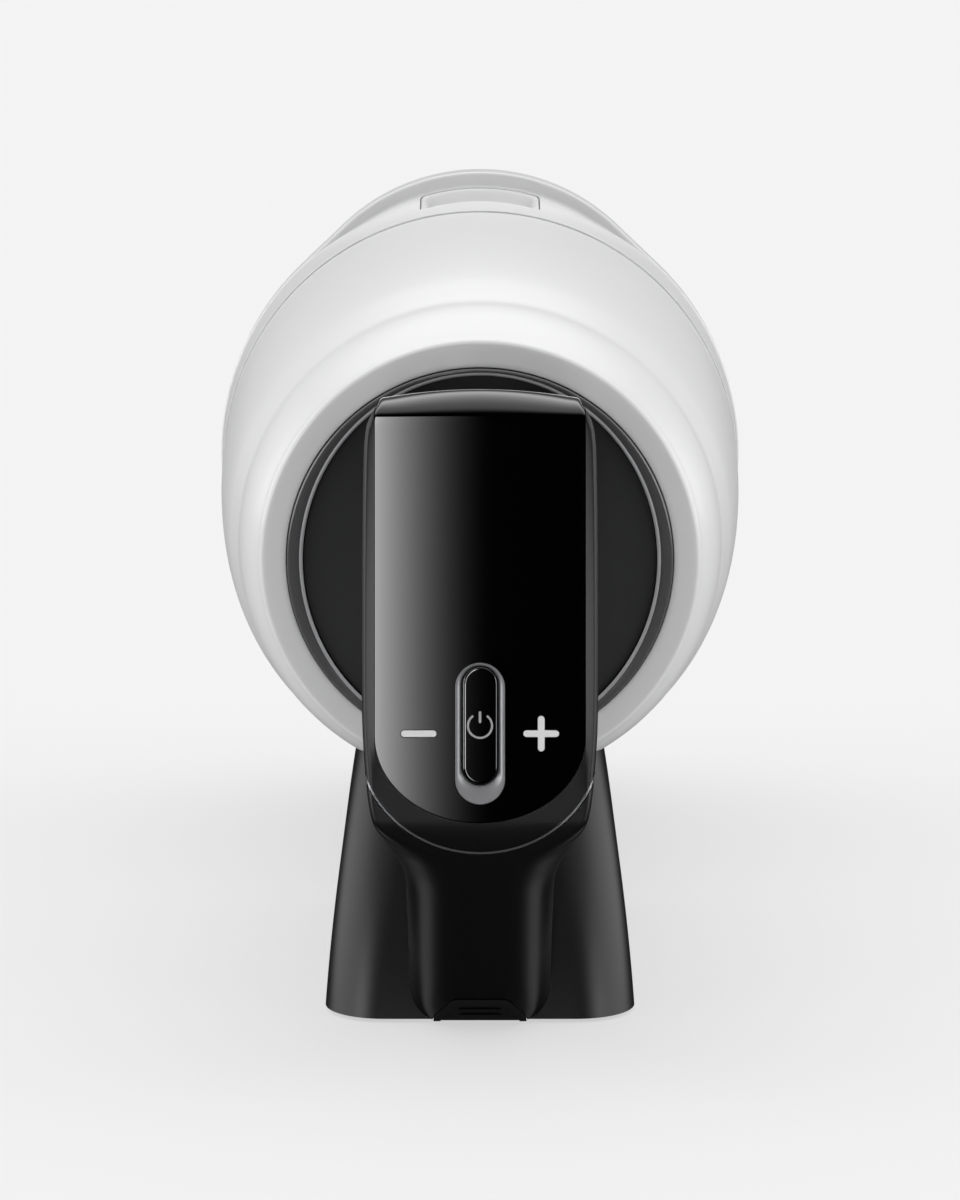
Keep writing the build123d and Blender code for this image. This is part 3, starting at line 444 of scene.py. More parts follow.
def shell_centre(q):
    """Height of the housing's section centre."""
    run = max(0.0, q - RISE_START) / (SEAM_Q - RISE_START)
    return AXIS_Z + BORE_LIFT * run ** RISE_POWER


def vent_slot(side, step):
    """Cutter of one round-ended vent, turned about the housing to its place in the fan."""
    tilt = Matrix.Rotation(radians(side * (38 + 7 * step)), 3, "Y")
    end = VENT_HIGH - VENT_HALF
    outline = [(VENT_HALF * c, s) for c, s in arc(0, end, 1, 0, 180, 8)]
    outline = [(u, end + VENT_HALF * (v - end)) for u, v in outline]
    lower = [(-u, VENT_LOW + VENT_HIGH - v) for u, v in outline]
    rows = []
    for depth in (40.0, 70.0):
        row = []
        for u, q in outline + lower:
            turned = tilt @ Vector((u, 0, -depth))
            row.append((turned.x, q, AXIS_Z + 4.0 + turned.z))
        rows.append(row)
    return skin("slot", rows)


def make_rear_housing():
    """White shell with a rounded rear edge, a bevelled seam edge and vents underneath."""
    bore = RING_R + GAP
    lip = bore + SEAM_RIM
    rows = [round_row(q, r, AXIS_Z) for q, r in ((3.0, bore), (0.5, bore), (0.15, bore + 0.12), (0.0, lip))]
    for t in (0.25, 0.5, 0.75, 0.97):
        rows.append(round_row(CONE_DEPTH * t, lip * (1 - t) + ANNULUS_R * t, AXIS_Z))
    edge_end = CONE_DEPTH + EDGE_R
    stations = [edge_end - EDGE_R * cos(radians(a)) for a in range(20, 90, 10)]
    stations += [edge_end + 1.1 * k for k in range(0, 36)]
    stations += [edge_end + 38.5 + 3.2 * k for k in range(1, 17)]
    rows += [round_row(q, shell_radius(q), shell_centre(q)) for q in stations]
    seam = ((SEAM_RIM, 0.0), (0.15 * SEAM_RIM, 0.3 * SEAM_RIM), (0.0, SEAM_RIM), (0.0, WALL))
    rows += [round_row(SEAM_Q - back, SEAM_R - inward, shell_centre(SEAM_Q)) for back, inward in seam]
    for q in (80.0, 60.0, 40.0, 30.0, 20.0, 12.0, 7.0):
        rows.append(round_row(q, shell_radius(q) - WALL, shell_centre(q)))
    housing = skin("housing_shell", rows, closed=True)
    carve(housing, *[vent_slot(side, step) for side in (-1, 1) for step in range(5)])
    return finish_piece(housing, "main_body", "white_shell", "rear_housing", 32)


# ---- rear ring and cover ----
def oval_rows(levels):
    """Rows of (station, half width, half height) ovals about the rear axis."""
    return [oval_row(q, rx, rz, AXIS_Z) for q, rx, rz in levels]


RING_EDGE = 0.5          # round outer edge of the trim ring
RING_LIP = 0.55          # width of its inner lip, and how far the face dishes towards it
# radius of the pale bead, a painted highlight along the ring's inner edge
HIGHLIGHT_BEAD_R = 0.40


def make_trim_ring():
    """Gloss ring: round outside, dished face, oval window with a soft lip inside."""
    face, back = RING_LOW.y - REAR_Y, RING_HIGH.y - REAR_Y
    rx, rz = COVER_RX + GAP, COVER_RZ + GAP
    outer = RING_R - RING_EDGE
    levels = [(back, RING_R, RING_R), (face + RING_EDGE, RING_R, RING_R)]
    for s, c in sides(22, 45, 68, 90):
        levels.append((face + RING_EDGE - RING_EDGE * s, outer + RING_EDGE * c, outer + RING_EDGE * c))
    for t in (0.25, 0.5, 0.75, 1.0):
        inner_x, inner_z = (rx + RING_LIP) * t, (rz + RING_LIP) * t
        levels.append((face + RING_LIP * t * t, outer * (1 - t) + inner_x, outer * (1 - t) + inner_z))
    for s, c in sides(30, 60, 90):
        inward = RING_LIP * (1 - s)
        levels.append((face + RING_LIP + 0.4 * (1 - c), rx + inward, rz + inward))
    levels += [(face + 2.2, rx, rz), (back, rx, rz)]
    ring = skin("trim_ring", oval_rows(levels), closed=True)
    return finish_piece(ring, "main_body", "gloss_ring", "rear_trim_ring")


def make_inner_highlight_bead():
    """Pale bead on the ring's inner lip: a painted highlight that stands in for the gloss ring's lit inner
    edge.
    """
    centre = RING_LOW.y - REAR_Y + 0.50
    levels = []
    for i in range(12):
        a = TURN * i / 12
        grow = GAP + 0.30 + HIGHLIGHT_BEAD_R * cos(a)
        levels.append((centre + HIGHLIGHT_BEAD_R * sin(a), COVER_RX + grow, COVER_RZ + grow))
    bead = skin("ring_highlight_bead", oval_rows(levels), closed=True)
    # light grey paints the highlight of the ring's inner edge
    shade(bead.data, 80)
    bead.data.materials.append(LOOKS["grey_symbol"])
    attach(bead, "main_body")
    return bead


def make_cover():
    """Slightly dished satin disc with a rounded rim."""
    face, back = COVER_LOW.y - REAR_Y, COVER_HIGH.y - REAR_Y
    rim = ((back, 0.0), (face + 0.4, 0.0), (face + 0.1, 0.1), (face, 0.4), (face, 1.6))
    levels = [(q, COVER_RX - inward, COVER_RZ - inward) for q, inward in rim]
    for t in (0.93, 0.9, 0.8, 0.65, 0.5, 0.35, 0.2, 0.08):
        levels.append((face + 0.5 * (1 - t * t) + 0.05, COVER_RX * t, COVER_RZ * t))
    cover = skin("cover_disc", oval_rows(levels))
    return finish_piece(cover, "main_body", "satin_black", "rear_cover", 35, "cover_black")


# ---- front collar and its button ----
CROWN_Q = 118.0
DECK_R0, DECK_R1 = 61.15, 62.4
CROWN_SMALL_R, CROWN_LIFT = 48.0, 20.3
DECK_LIFT = 2.6          # how far the deck's top rises above its round section at the crown
PASSAGE_R = 24.0
COLLAR_AROUND = 288
BUTTON_GAP = 0.12
BUTTON_CORNER = 1.2      # round corners of the button in plan
SCOOP_DEPTH = 2.9        # how deep the thumb scoop dips before its steep front wall
CREASE_R = 0.9           # round corners where the deck meets the crown
CROWN_EDGE = 1.2         # round front edge of the crown


def egg_radius(angle, big, small, lift):
    """Distance from the big circle's centre to the outline around it and a smaller circle above."""
    c, s = abs(cos(angle)), sin(angle)
    lean = (big - small) / lift
    if lean >= 1 or s <= lean:
        return big
    normal = asin(lean)
    upper = atan2(lift + small * sin(normal), small * cos(normal))
    if atan2(s, c) < upper:
        return big / (c * cos(normal) + s * sin(normal))
    return lift * s + sqrt(small * small - (lift * c) ** 2)


def egg_row(q, big, extra, small, shrink=0.0):
    """Egg-shaped row of points about the bin's axis, whose top stands extra above the big circle."""
    lift = big + extra - small
    row = []
    for i in range(COLLAR_AROUND):
        a = TURN * i / COLLAR_AROUND
        r = egg_radius(a, big, small, lift) - shrink
        row.append((r * cos(a), q, BIN_Z + r * sin(a)))
    return row


def deck_top(q):
    """Radius of the deck's round section, and how far its top stands above that."""
    run = (q - COLLAR_Q) / (CROWN_Q - COLLAR_Q)
    return DECK_R0 + (DECK_R1 - DECK_R0) * run, DECK_LIFT * run ** 3


def make_collar():
    """Deck that rises from the seam, and the egg-shaped crown with its bulkhead."""
    crown = (COLLAR_R, CROWN_SMALL_R + CROWN_LIFT - COLLAR_R, CROWN_SMALL_R)
    start = ((0.0, 57.6), (0.0, DECK_R0 - 0.3), (0.06, DECK_R0 - 0.1), (0.25, DECK_R0))
    rows = [egg_row(COLLAR_Q + q, r, 0.0, 40.0) for q, r in start]
    deck_start, deck_end = COLLAR_Q + 0.25, CROWN_Q - CREASE_R
    for k in range(1, 16):
        q = deck_start + (deck_end - deck_start) * k / 15
        rows.append(egg_row(q, *deck_top(q), 47.6))
    big, extra = deck_top(deck_end)
    for s, c in sides(20, 45, 70, 90):
        share = (1 - c) * 0.25
        wide, tall = big + (crown[0] - big) * share, extra + (crown[1] - extra) * share
        rows.append(egg_row(deck_end + CREASE_R * s, wide, tall, 47.8))
    for s, c in sides(0, 22, 45, 68, 90):
        rows.append(egg_row(CROWN_Q + CREASE_R * (1 - c), *crown, shrink=CREASE_R * (1 - s)))
    for k in range(1, 6):
        rows.append(egg_row(CROWN_Q + CREASE_R + (COLLAR_END - 2.1 - CROWN_Q) * k / 5, *crown))
    for s, c in sides(22, 45, 68, 90):
        rows.append(egg_row(COLLAR_END - CROWN_EDGE + CROWN_EDGE * s, *crown, shrink=CROWN_EDGE * (1 - c)))
    bulkhead = ((0.0, 58.4), (0.0, 45.6), (0.0, PASSAGE_R + 0.8), (0.3, PASSAGE_R + 0.2), (0.8, PASSAGE_R),
                (4.0, PASSAGE_R), (4.0, 57.6))
    rows += [egg_row(COLLAR_END - back, r, 0.0, r / 2) for back, r in bulkhead]
    collar = skin("collar_shell", rows, closed=True)

    low, high = span("bin_release_button")
    half = high.x + BUTTON_GAP
    q0, q1 = low.y - REAR_Y - BUTTON_GAP, high.y - REAR_Y + BUTTON_GAP
    outline = loop_corners([(-half, q0), (half, q0), (half, q1), (-half, q1)], BUTTON_CORNER)
    carve(collar, prism("slot", outline, BIN_Z + 56.0, BIN_Z + 80.0, axis="z"))
    soften(collar, 0.3, segments=3, angle=50)
    return finish_piece(collar, "main_body", "grey_collar", "front_collar", 40)


def make_bin_button():
    """Thumb scoop: flush with the deck behind, dipping, then rising to a ridge in front."""
    low, high = span("bin_release_button")
    half, q0, q1 = high.x, low.y - REAR_Y, high.y - REAR_Y
    base_z = low.z + 0.4
    columns, steps = 56, 44
    dip_end, ridge, ridge_run = 0.62, 0.95, 0.33  # shares of the length: deepest place, ridge, climb to it

    def top_z(x, q):
        big, extra = deck_top(q)
        a = atan2(sqrt(big * big - x * x), x)
        r = egg_radius(a, big, 47.6, big + extra - 47.6)
        level = BIN_Z + sqrt(max(0.0, r * r - x * x))
        t = (q - q0) / (q1 - q0)
        scoop = blend_steps(t / dip_end) if t < dip_end else blend_steps((ridge - t) / ridge_run)
        side = blend_steps((half - 0.5 - abs(x)) / 1.5)
        return level - 0.05 - SCOOP_DEPTH * scoop * side

    points, faces = [], []
    for i in range(steps + 1):
        for j in range(columns + 1):
            q = q0 + (q1 - q0) * i / steps
            x = -half + 2 * half * j / columns
            near = max(0.0, BUTTON_CORNER - min(q - q0, q1 - q))
            limit = half - BUTTON_CORNER + sqrt(max(0.0, BUTTON_CORNER ** 2 - near ** 2))
            x = max(-limit, min(limit, x * limit / half))
            edge = min(q - q0, q1 - q, limit - abs(x))
            roll = 0.35 * (1 - sqrt(max(0.0, 1 - max(0.0, 1 - edge / 0.5) ** 2)))
            points.append((x, q, top_z(x, q) - roll))
    count = len(points)
    points += [(x, q, base_z) for x, q, z in points]
    width = columns + 1
    for i in range(steps):
        for j in range(columns):
            a = i * width + j
            faces.append((a, a + 1, a + width + 1, a + width))
            faces.append((count + a, count + a + width, count + a + width + 1, count + a + 1))
    rim = list(range(width)) + [i * width + columns for i in range(1, steps + 1)]
    rim += [steps * width + j for j in range(columns - 1, -1, -1)]
    rim += [i * width for i in range(steps - 1, 0, -1)]
    for k, a in enumerate(rim):
        b = rim[(k + 1) % len(rim)]
        faces.append((a, b, count + b, count + a))
    button = solid("bin_button_scoop", points, faces)
    return finish_piece(button, "bin_button", "grey_collar", "bin_release_button", 50)


# ---- handle ----
ROOT_TOP, BEND, CHIN = (0.5, 136.2), (-61.2, 142.4), (-78.2, 50.5)
HEEL, FOOT_REAR = (-71.0, 43.0), (-26.0, 0.6)
ROOT_BOTTOM, INNER_BEND, INNER_CHIN = (0.5, 112.2), (-42.0, 116.5), (-53.6, 58.0)
FOOT_TOP, FOOT_FRONT = (-8.0, 18.5), (-4.0, 0.6)
BEND_RADIUS, CHIN_RADIUS, HEEL_RADIUS, INNER_RADIUS = 6.0, 12.0, 8.0, 9.0
ROOF_X, ROOT_DROP, BEND_DROP = 22.0, 7.0, 2.7
BAR_SLOPE = (BEND[1] - ROOT_TOP[1]) / (ROOT_TOP[0] - BEND[0])
HEAD_HALF, RAIL, COLUMN_HALF = 24.0, 2.7, 15.4
PLATE_HALF = HEAD_HALF - RAIL
RAIL_SLOPE = 0.42         # the rails beside the plate fall away outward
PLATE_SINK, PLATE_THICK, PLATE_FOOT = 0.25, 2.2, 17.5
BEZEL_DEPTH = 4.2
FOOT_HALF = 25.0          # half width of the oval foot that the bright line follows
HANDLE_WALL = 3.6
PARTING_GAP = 0.25        # between the rear shell and the grip shell
SOCKET_GAP = 0.12         # around the battery bay
RAIL_START = 2.2          # how far below the bend's corner the bezel starts
ARC_STEPS = 14
HEAD_EDGE, COLUMN_EDGE, COLUMN_CROWN, PALM_EDGE = 1.1, 11.0, 1.0, 7.0
ACROSS = 40.0             # cutters reach this far to both sides
# half width of the handle against height, from the column to the top edge
OUTLINE = [(-10.0, 15.4), (38.0, 15.4), (43.0, 16.4), (50.6, 20.2), (56.0, 22.2), (65.0, 23.3),
           (75.0, 23.9), (95.0, 24.0), (125.0, 23.7), (135.0, 23.0), (140.4, 20.6), (150.0, 20.6)]

PANEL_RUN = Vector(BEND) - Vector(CHIN)
PANEL_UP = PANEL_RUN.normalized()
PANEL_OUT = Vector((-PANEL_UP.y, PANEL_UP.x))
FOOT_CENTRE = 23.2
PANEL_ORIGIN = Vector(CHIN) + PANEL_UP * FOOT_CENTRE


def on_panel(x, v, out=0.0):
    """Point over the panel plane: across, up the panel, and outward."""
    q, z = PANEL_ORIGIN + PANEL_UP * v + PANEL_OUT * out
    return (x, q, z)


def handle_half(q, z):
    """Half width of the handle at a station and height; the outline follows the top bar's slope."""
    return table_value(OUTLINE, z + BAR_SLOPE * (q - BEND[0]))


def handle_paths():
    """Matched points of the outer and inner side paths, with their share of arch and of the wide head."""
    counts = (26, 14, 34, 16, 46)
    outer = [ROOT_TOP, BEND, CHIN, HEEL, FOOT_REAR]
    inner = [ROOT_BOTTOM, INNER_BEND, INNER_CHIN, FOOT_TOP, FOOT_FRONT]
    outer_path = rounded(outer, (0, BEND_RADIUS, CHIN_RADIUS, HEEL_RADIUS, 0), ARC_STEPS)
    inner_path = rounded(inner, (0, INNER_RADIUS, INNER_RADIUS, 6.0, 0), ARC_STEPS)
    # stretches: bar, bend, panel, chin, column
    cuts = (0, 1, 1 + ARC_STEPS, 2 + ARC_STEPS, 2 + 2 * ARC_STEPS, len(outer_path) - 1)
    marks = []
    for part, count in enumerate(counts):
        piece = slice(cuts[part], cuts[part + 1] + 1)
        runs = [resample(path[piece], count) for path in (outer_path, inner_path)]
        for i, (a, b) in enumerate(zip(*runs)):
            if part and not i:
                continue
            t = i / (count - 1)
            arch = {0: 1.0, 1: 1.0 - blend_steps(t)}.get(part, 0.0)
            head = {3: 1.0 - blend_steps(t), 4: 0.0}.get(part, 1.0)
            marks.append((Vector(a), Vector(b), arch, head))
    return marks


def arch_drop(x, q):
    """Drop of the bar's arched top at x, away from the middle."""
    share = min(1.0, max(0.0, (q - BEND[0]) / (3.0 - BEND[0])))
    drop = BEND_DROP + (ROOT_DROP - BEND_DROP) * share
    radius = (ROOF_X ** 2 + drop ** 2) / (2 * drop)
    return radius - sqrt(radius ** 2 - x * x)


def handle_body(name, inset=0.0, reach=0.0):
    """Closed smooth body of the whole handle, drawn inward by an inset; reach moves its root end."""
    rows = []
    for outer, inner, arch, head in handle_paths():
        depth = (inner - outer).length - 2 * inset
        down = (inner - outer).normalized()
        start = outer + down * inset
        edge = max(0.4, (HEAD_EDGE * head + COLUMN_EDGE * (1 - head)) - inset)
        palm = max(0.4, PALM_EDGE - inset)
        crown = COLUMN_CROWN * (1 - head)

        def side_point(share, below, inward):
            """Point of the right-hand outline: a share of the half width at a depth under the outer face."""
            at = start + down * below
            half = handle_half(at.x, at.y) - inset
            return max(0.0, (half - inward)) * share, at.x, at.y

        def fall(x):
            """Drop of the outer face at x: arched bar, crowned column, rails beside the plate."""
            rail = RAIL_SLOPE * head * max(0.0, x - PLATE_HALF - GAP)
            return arch * arch_drop(x, outer.x) + crown * (x / COLUMN_HALF) ** 2 + rail

        half_here = handle_half(start.x, start.y) - inset - edge
        rail_from = min(PLATE_HALF + GAP, 0.995 * half_here)
        right = []
        for x in [rail_from * k / 11 for k in range(12)] + [half_here]:
            at = start + down * fall(x)
            right.append((x, at.x, at.y))
        lip = fall(half_here)
        side_from, side_to = lip + edge, depth - palm
        right += [side_point(1.0, lip + edge * (1 - c), edge * (1 - s)) for s, c in sides(*range(15, 91, 15))]
        right += [side_point(1.0, side_from + (side_to - side_from) * k / 12, 0.0) for k in range(1, 12)]
        right += [side_point(1.0, side_to + palm * s, palm * (1 - c)) for s, c in sides(*range(0, 91, 10))]
        right += [side_point(share, depth, palm) for share in (0.66, 0.33, 0.0)]
        rows.append(right + [(-x, q, z) for x, q, z in reversed(right[1:-1])])
    # a hollow stops one wall short of the root; a layer cut runs out through it
    rows = [[(x, q + reach if q > ROOT_TOP[0] - 0.01 else q, z) for x, q, z in row] for row in rows]
    if reach < 0:
        rows[1:] = [[(x, min(q, ROOT_TOP[0] + reach - 0.01 * i), z) for x, q, z in row]
                    for i, row in enumerate(rows[1:])]
    if inset > 0:
        rows.append([(x, q + 1.0, z - 4.0) for x, q, z in rows[-1]])
    return skin(name, rows)


def across_prism(name, outline, half=ACROSS):
    """Solid of a side outline, (station, z), to both sides of the middle."""
    return prism(name, outline, -half, half, axis="x")


def side_polygon(path_outer, path_inner, name):
    """Solid across the handle between two side paths that share their ends' order."""
    return across_prism(name, list(path_outer) + list(reversed(path_inner)))


def shifted(path, amount):
    """A side path moved to its right-hand side by an amount."""
    found = []
    for i, here in enumerate(path):
        a, b = Vector(path[max(0, i - 1)]), Vector(path[min(len(path) - 1, i + 1)])
        along = (b - a).normalized()
        found.append((here[0] + along.y * amount, here[1] - along.x * amount))
    return found


def outer_stretch(depth):
    """The outer side path from just past the bend's start to below the chin, moved inward by a depth."""
    path = rounded([ROOT_TOP, BEND, CHIN, HEEL], (0, BEND_RADIUS, CHIN_RADIUS, 0), ARC_STEPS)
    stretch = [p for p in path[1:] if p[1] < BEND[1] - RAIL_START]
    return shifted(stretch, -depth)


def panel_prism(name, half, foot, low, high, top=90.0, steps=40):
    """Solid over the panel plane: straight sides and a half-oval foot."""
    outline = [(half, top)]
    for i in range(steps + 1):
        a = pi * i / steps
        outline.append((half * cos(a), -foot * sin(a)))
    outline.append((-half, top))
    return skin(name, [[on_panel(u, v, w) for u, v in outline] for w in (low, high)])


def band_under_plate(name, depth):
    """Solid that follows the outer face down to a depth, from the bend's rails to the chin."""
    return side_polygon(outer_stretch(-3.0), outer_stretch(depth), name)


def plate_slab(name, growth):
    """Space of the gloss plate's outline from the root over the bend to its foot."""
    root = ROOT_TOP[0] + 4.0
    corners = [(root, ROOT_TOP[1] - 0.4), BEND, CHIN, HEEL]
    path = rounded(corners, (0, BEND_RADIUS, CHIN_RADIUS, 0), ARC_STEPS)
    deep = [(root, 125.0), (-50.0, 129.5), (-64.0, 58.0), (-62.0, 46.0)]
    slab = side_polygon(shifted(path, 9.0), deep, name)
    return keep(slab, panel_prism("foot_side", PLATE_HALF + growth, PLATE_FOOT + growth, -100, 20, top=200.0))


def make_handle():
    """Rear shell, grip shell, bezel and bright trim, all cut from the same smooth body."""
    parting = rounded(
        [(6.0, 124.0), (-45.0, 128.6), (-51.0, 122.0), (-65.0, 53.0), (-20.0, 10.6), (-20.0, -20.0)],
        (0, 5, 9, 8, 0, 0),
    )
    behind = [(-110.0, -20.0), (-110.0, 170.0), (6.0, 170.0)]
    rear_region = across_prism("rear_region", parting + behind)
    in_front = [(30.0, -20.0), (30.0, 124.0)]
    front_region = across_prism("front_region", shifted(parting, -PARTING_GAP) + in_front)

    bed = plate_slab("bed", GAP)
    carve(bed, handle_body("bed_floor", PLATE_SINK + PLATE_THICK + GAP, 6.0))
    shell = handle_body("handle_rear_shell")
    pocket = band_under_plate("pocket", BEZEL_DEPTH)
    keep(pocket, panel_prism("reach", FOOT_HALF + 0.2, HEAD_HALF + 0.12, -12, 6))
    carve(shell, handle_body("hollow", HANDLE_WALL, -HANDLE_WALL))
    keep(shell, rear_region)
    carve(shell, pocket, bed, sleeve_block("sleeve_space", SOCKET_GAP), button_notch())
    finish_piece(shell, "main_body", "satin_black", "handle_shell", 38)

    grip = handle_body("handle_grip")
    carve(grip, handle_body("hollow", HANDLE_WALL, -HANDLE_WALL))
    keep(grip, front_region)
    carve(grip, sleeve_block("sleeve_space", SOCKET_GAP), button_notch())
    finish_piece(grip, "main_body", "soft_grip", "grip_shell", 38)

    bezel = handle_body("panel_bezel")
    inside = panel_prism("inside", FOOT_HALF - 0.5, HEAD_HALF - 0.55, -12, 6)
    keep(bezel, band_under_plate("band", BEZEL_DEPTH - 0.1), inside)
    carve(bezel, plate_slab("opening", GAP))
    finish_piece(bezel, "main_body", "satin_black", "control_bezel", 38)

    trim = handle_body("bezel_line", -0.08)
    ring = panel_prism("ring", FOOT_HALF, HEAD_HALF, -12, 6, top=2.0)
    carve(ring, panel_prism("ring_hole", FOOT_HALF - 0.4, HEAD_HALF - 0.45, -13, 7, top=3.0))
    keep(trim, band_under_plate("band", BEZEL_DEPTH - 0.1), ring)
    finish_piece(trim, "main_body", "bright_trim", "bezel_trim", 50)

    plate = handle_body("gloss_plate", PLATE_SINK, 0.3)
    carve(plate, handle_body("plate_back", PLATE_SINK + PLATE_THICK, 6.0))
    pierced = carve(plate_slab("plate_outline", 0.0), *control_holes())
    keep(plate, pierced)
    finish_piece(plate, "main_body", "gloss_black", "control_panel", 30)


# ---- controls ----
KEY_V = 0.5
PILL_W, PILL_H = 10.1, 28.7
KEY_W, KEY_H, KEY_RISE = 6.9, 23.8, 1.6
SYMBOL_R, SYMBOL_LINE = 2.65, 0.42
GLYPH_X, GLYPH_L, GLYPH_W = 12.4, 7.2, 1.35
FIT = 0.3


def pill(width, height, x=0.0, v=0.0, steps=24):
    """Upright slot outline with round ends, centred on a place on the panel."""
    r, run = width / 2, (height - width) / 2
    return arc(x, v + run, r, 0, 180, steps) + arc(x, v - run, r, 180, 360, steps)


def bar(x, v, length, width):
    """Outline of a level round-ended bar on the panel."""
    return [(x + b, v - a) for a, b in pill(width, length, 0.0, 0.0, 10)]


def cross(x, v, length, width, steps=10):
    """Outline of a plus with round ends on the panel."""
    r = width / 2
    reach = length / 2 - r
    found = []
    for quarter in range(4):
        a = radians(90 * quarter)
        end = (x + reach * cos(a), v + reach * sin(a))
        found += arc(*end, r, 90 * quarter - 90, 90 * quarter + 90, steps)
        found.append((x + r * (cos(a) - sin(a)), v + r * (sin(a) + cos(a))))
    return found


def stack(name, levels):
    """Solid over the panel from (outline, height) levels of equal count, lowest first."""
    return skin(name, [[on_panel(u, v, w) for u, v in outline] for outline, w in levels])


def control_holes():
    """Openings of the gloss plate for the power surround and the two keys."""
    shapes = [
        pill(PILL_W + 2 * GAP, PILL_H + 2 * GAP, 0, KEY_V),
        bar(-GLYPH_X, KEY_V, GLYPH_L + FIT, GLYPH_W + FIT),
        cross(GLYPH_X, KEY_V, GLYPH_L + FIT, GLYPH_W + FIT),
    ]
    return [stack("hole", [(outline, -8.0), (outline, 4.0)]) for outline in shapes]


def make_controls():
    """Dished silver surround, raised power key with its symbol, and the two white keys."""
    rim = [(pill(PILL_W - trim, PILL_H - trim, 0, KEY_V), level)
           for trim, level in ((0.0, -2.5), (0.0, -0.15), (0.24, 0.0), (0.7, -0.02))]
    key_v = KEY_V + KEY_RISE
    for t in (0.3, 0.6, 1.0):
        w = (PILL_W - 0.7) * (1 - t) + (KEY_W + 0.5) * t
        h = (PILL_H - 0.7) * (1 - t) + (KEY_H + 0.5) * t
        rim.append((pill(w, h, 0, KEY_V + KEY_RISE * t), -0.02 - 0.75 * t * t))
    rim.append((pill(KEY_W + 0.5, KEY_H + 0.5, 0, key_v), -2.5))
    rows = [[on_panel(u, v, w) for u, v in outline] for outline, w in rim]
    surround = skin("power_surround", rows, closed=True)
    finish_piece(surround, "main_body", "silver", "power_trim", 40)

    steps = [(0.0, -4.0), (0.0, -0.25)] + [(0.5 * (1 - c), -0.25 + 0.25 * s) for s, c in sides(30, 60, 90)]
    steps.append((1.2, 0.0))
    key = stack("power_pill", [(pill(KEY_W - trim, KEY_H - trim, 0, key_v), level) for trim, level in steps])
    finish_piece(key, "power_key", "gloss_black", "power_button", 40)

    loop = arc(0, key_v, SYMBOL_R, 125, 415, 44)
    inner = arc(0, key_v, SYMBOL_R - SYMBOL_LINE, 415, 125, 44)
    symbol = stack("power_icon", [(loop + inner, w) for w in (-0.05, 0.05)])
    stem = stack("stem", [(pill(SYMBOL_LINE + 0.1, 2.4, 0, key_v + 1.75, 6), w) for w in (-0.04, 0.06)])
    carve(symbol, stem, operation="UNION")
    finish_piece(symbol, "power_key", "grey_symbol", "power_symbol", 50)

    glyphs = (("minus_bar", bar, -GLYPH_X, "minus_key"), ("plus_cross", cross, GLYPH_X, "plus_key"))
    for name, outline, x, node in glyphs:
        levels = [(outline(x, KEY_V, GLYPH_L - trim, GLYPH_W - trim), level)
                  for trim, level in ((0.0, -4.0), (0.0, -0.02), (0.06, 0.04), (0.16, 0.08))]
        finish_piece(stack(name, levels), node + "_body", "white_symbol", node, 50)


# ---- battery bay ----
BAY_TOP = 40.8
SLEEVE_TOP = 58.0
SLEEVE_CORNER = 13.0
SLEEVE_PER_CORNER = 16
SLEEVE_CLEAR = 0.1


def sleeve_outline(z, growth):
    """Rounded rectangle of the flared sleeve at a height, as (x, station) points."""
    half = 33.8 - 0.070 * z - 0.0011 * z * z + growth
    rear = -24.0 + 0.33 * z + 0.0030 * z * z - growth
    front = 86.0 - 0.03 * z + growth
    r = SLEEVE_CORNER + growth
    found = []
    for cx, cq, start in ((half - r, front - r, 0), (r - half, front - r, 90), (r - half, rear + r, 180),
                          (half - r, rear + r, 270)):
        found += arc(cx, cq, r, start, start + 90, SLEEVE_PER_CORNER)
    # extra points along the long sides let the top follow the round housing
    dense = []
    for i, a in enumerate(found):
        b = found[(i + 1) % len(found)]
        dense.append(a)
        if i % (SLEEVE_PER_CORNER + 1) == SLEEVE_PER_CORNER:
            dense += [(a[0] + (b[0] - a[0]) * k / 14, a[1] + (b[1] - a[1]) * k / 14) for k in range(1, 14)]
    return dense


def sleeve_block(name, growth, z0=FOOT_Z, z1=SLEEVE_TOP, steps=28):
    """Solid that follows the sleeve between two heights."""
    rows = []
    for step in range(steps + 1):
        z = z0 + (z1 - z0) * step / steps
        rows.append([(x, q, z) for x, q in sleeve_outline(z, growth)])
    return skin(name, rows)


def arch_outline(growth, radius=0.8):
    """Outline of the battery button: upper half of a rounded octagon."""
    corners = [(-10.2 - growth, -2.0), (-10.0 - growth, 1.4), (-5.8 - growth / 2, 7.4 + growth),
               (5.8 + growth / 2, 7.4 + growth), (10.0 + growth, 1.4), (10.2 + growth, -2.0)]
    return rounded(corners, (0, 3.0, radius + 0.8, radius + 0.8, 3.0, 0), 6)


def arch_prism(name, growth, q0, q1):
    """Solid of the battery button's outline between two stations."""
    return prism(name, arch_outline(growth), q0, q1)


def button_notch():
    """Cutter that leaves room for the battery button."""
    return arch_prism("notch", 0.15, -60.0, -10.0)


def housing_space(name, growth):
    """Solid of the motor housing's outside, grown by an offset."""
    edge_end = CONE_DEPTH + EDGE_R
    stations = [-0.5, CONE_DEPTH] + [edge_end - EDGE_R * cos(radians(a)) for a in range(20, 90, 10)]
    stations += [edge_end + 2.3 * k for k in range(0, 40)]
    return skin(name, [round_row(q, shell_radius(q) + growth, shell_centre(q)) for q in stations])


def make_sleeve():
    """Flared bay, hollow from below, whose top follows the round housing."""
    sleeve = sleeve_block("sleeve_shell", 0.0)
    tail = lathe("tail", [(-40.0, 1.0), (-40.0, ANNULUS_R + 2.0), (0.7, ANNULUS_R + 2.0), (0.7, 1.0)], AXIS_Z)
    bay = sleeve_block("bay", -WALL, -1.0, BAY_TOP)
    carve(sleeve, bay, housing_space("housing", SLEEVE_CLEAR), tail, button_notch())
    soften(sleeve, 0.35, segments=2, angle=50)
    finish_piece(sleeve, "main_body", "satin_black", "battery_sleeve", 38)


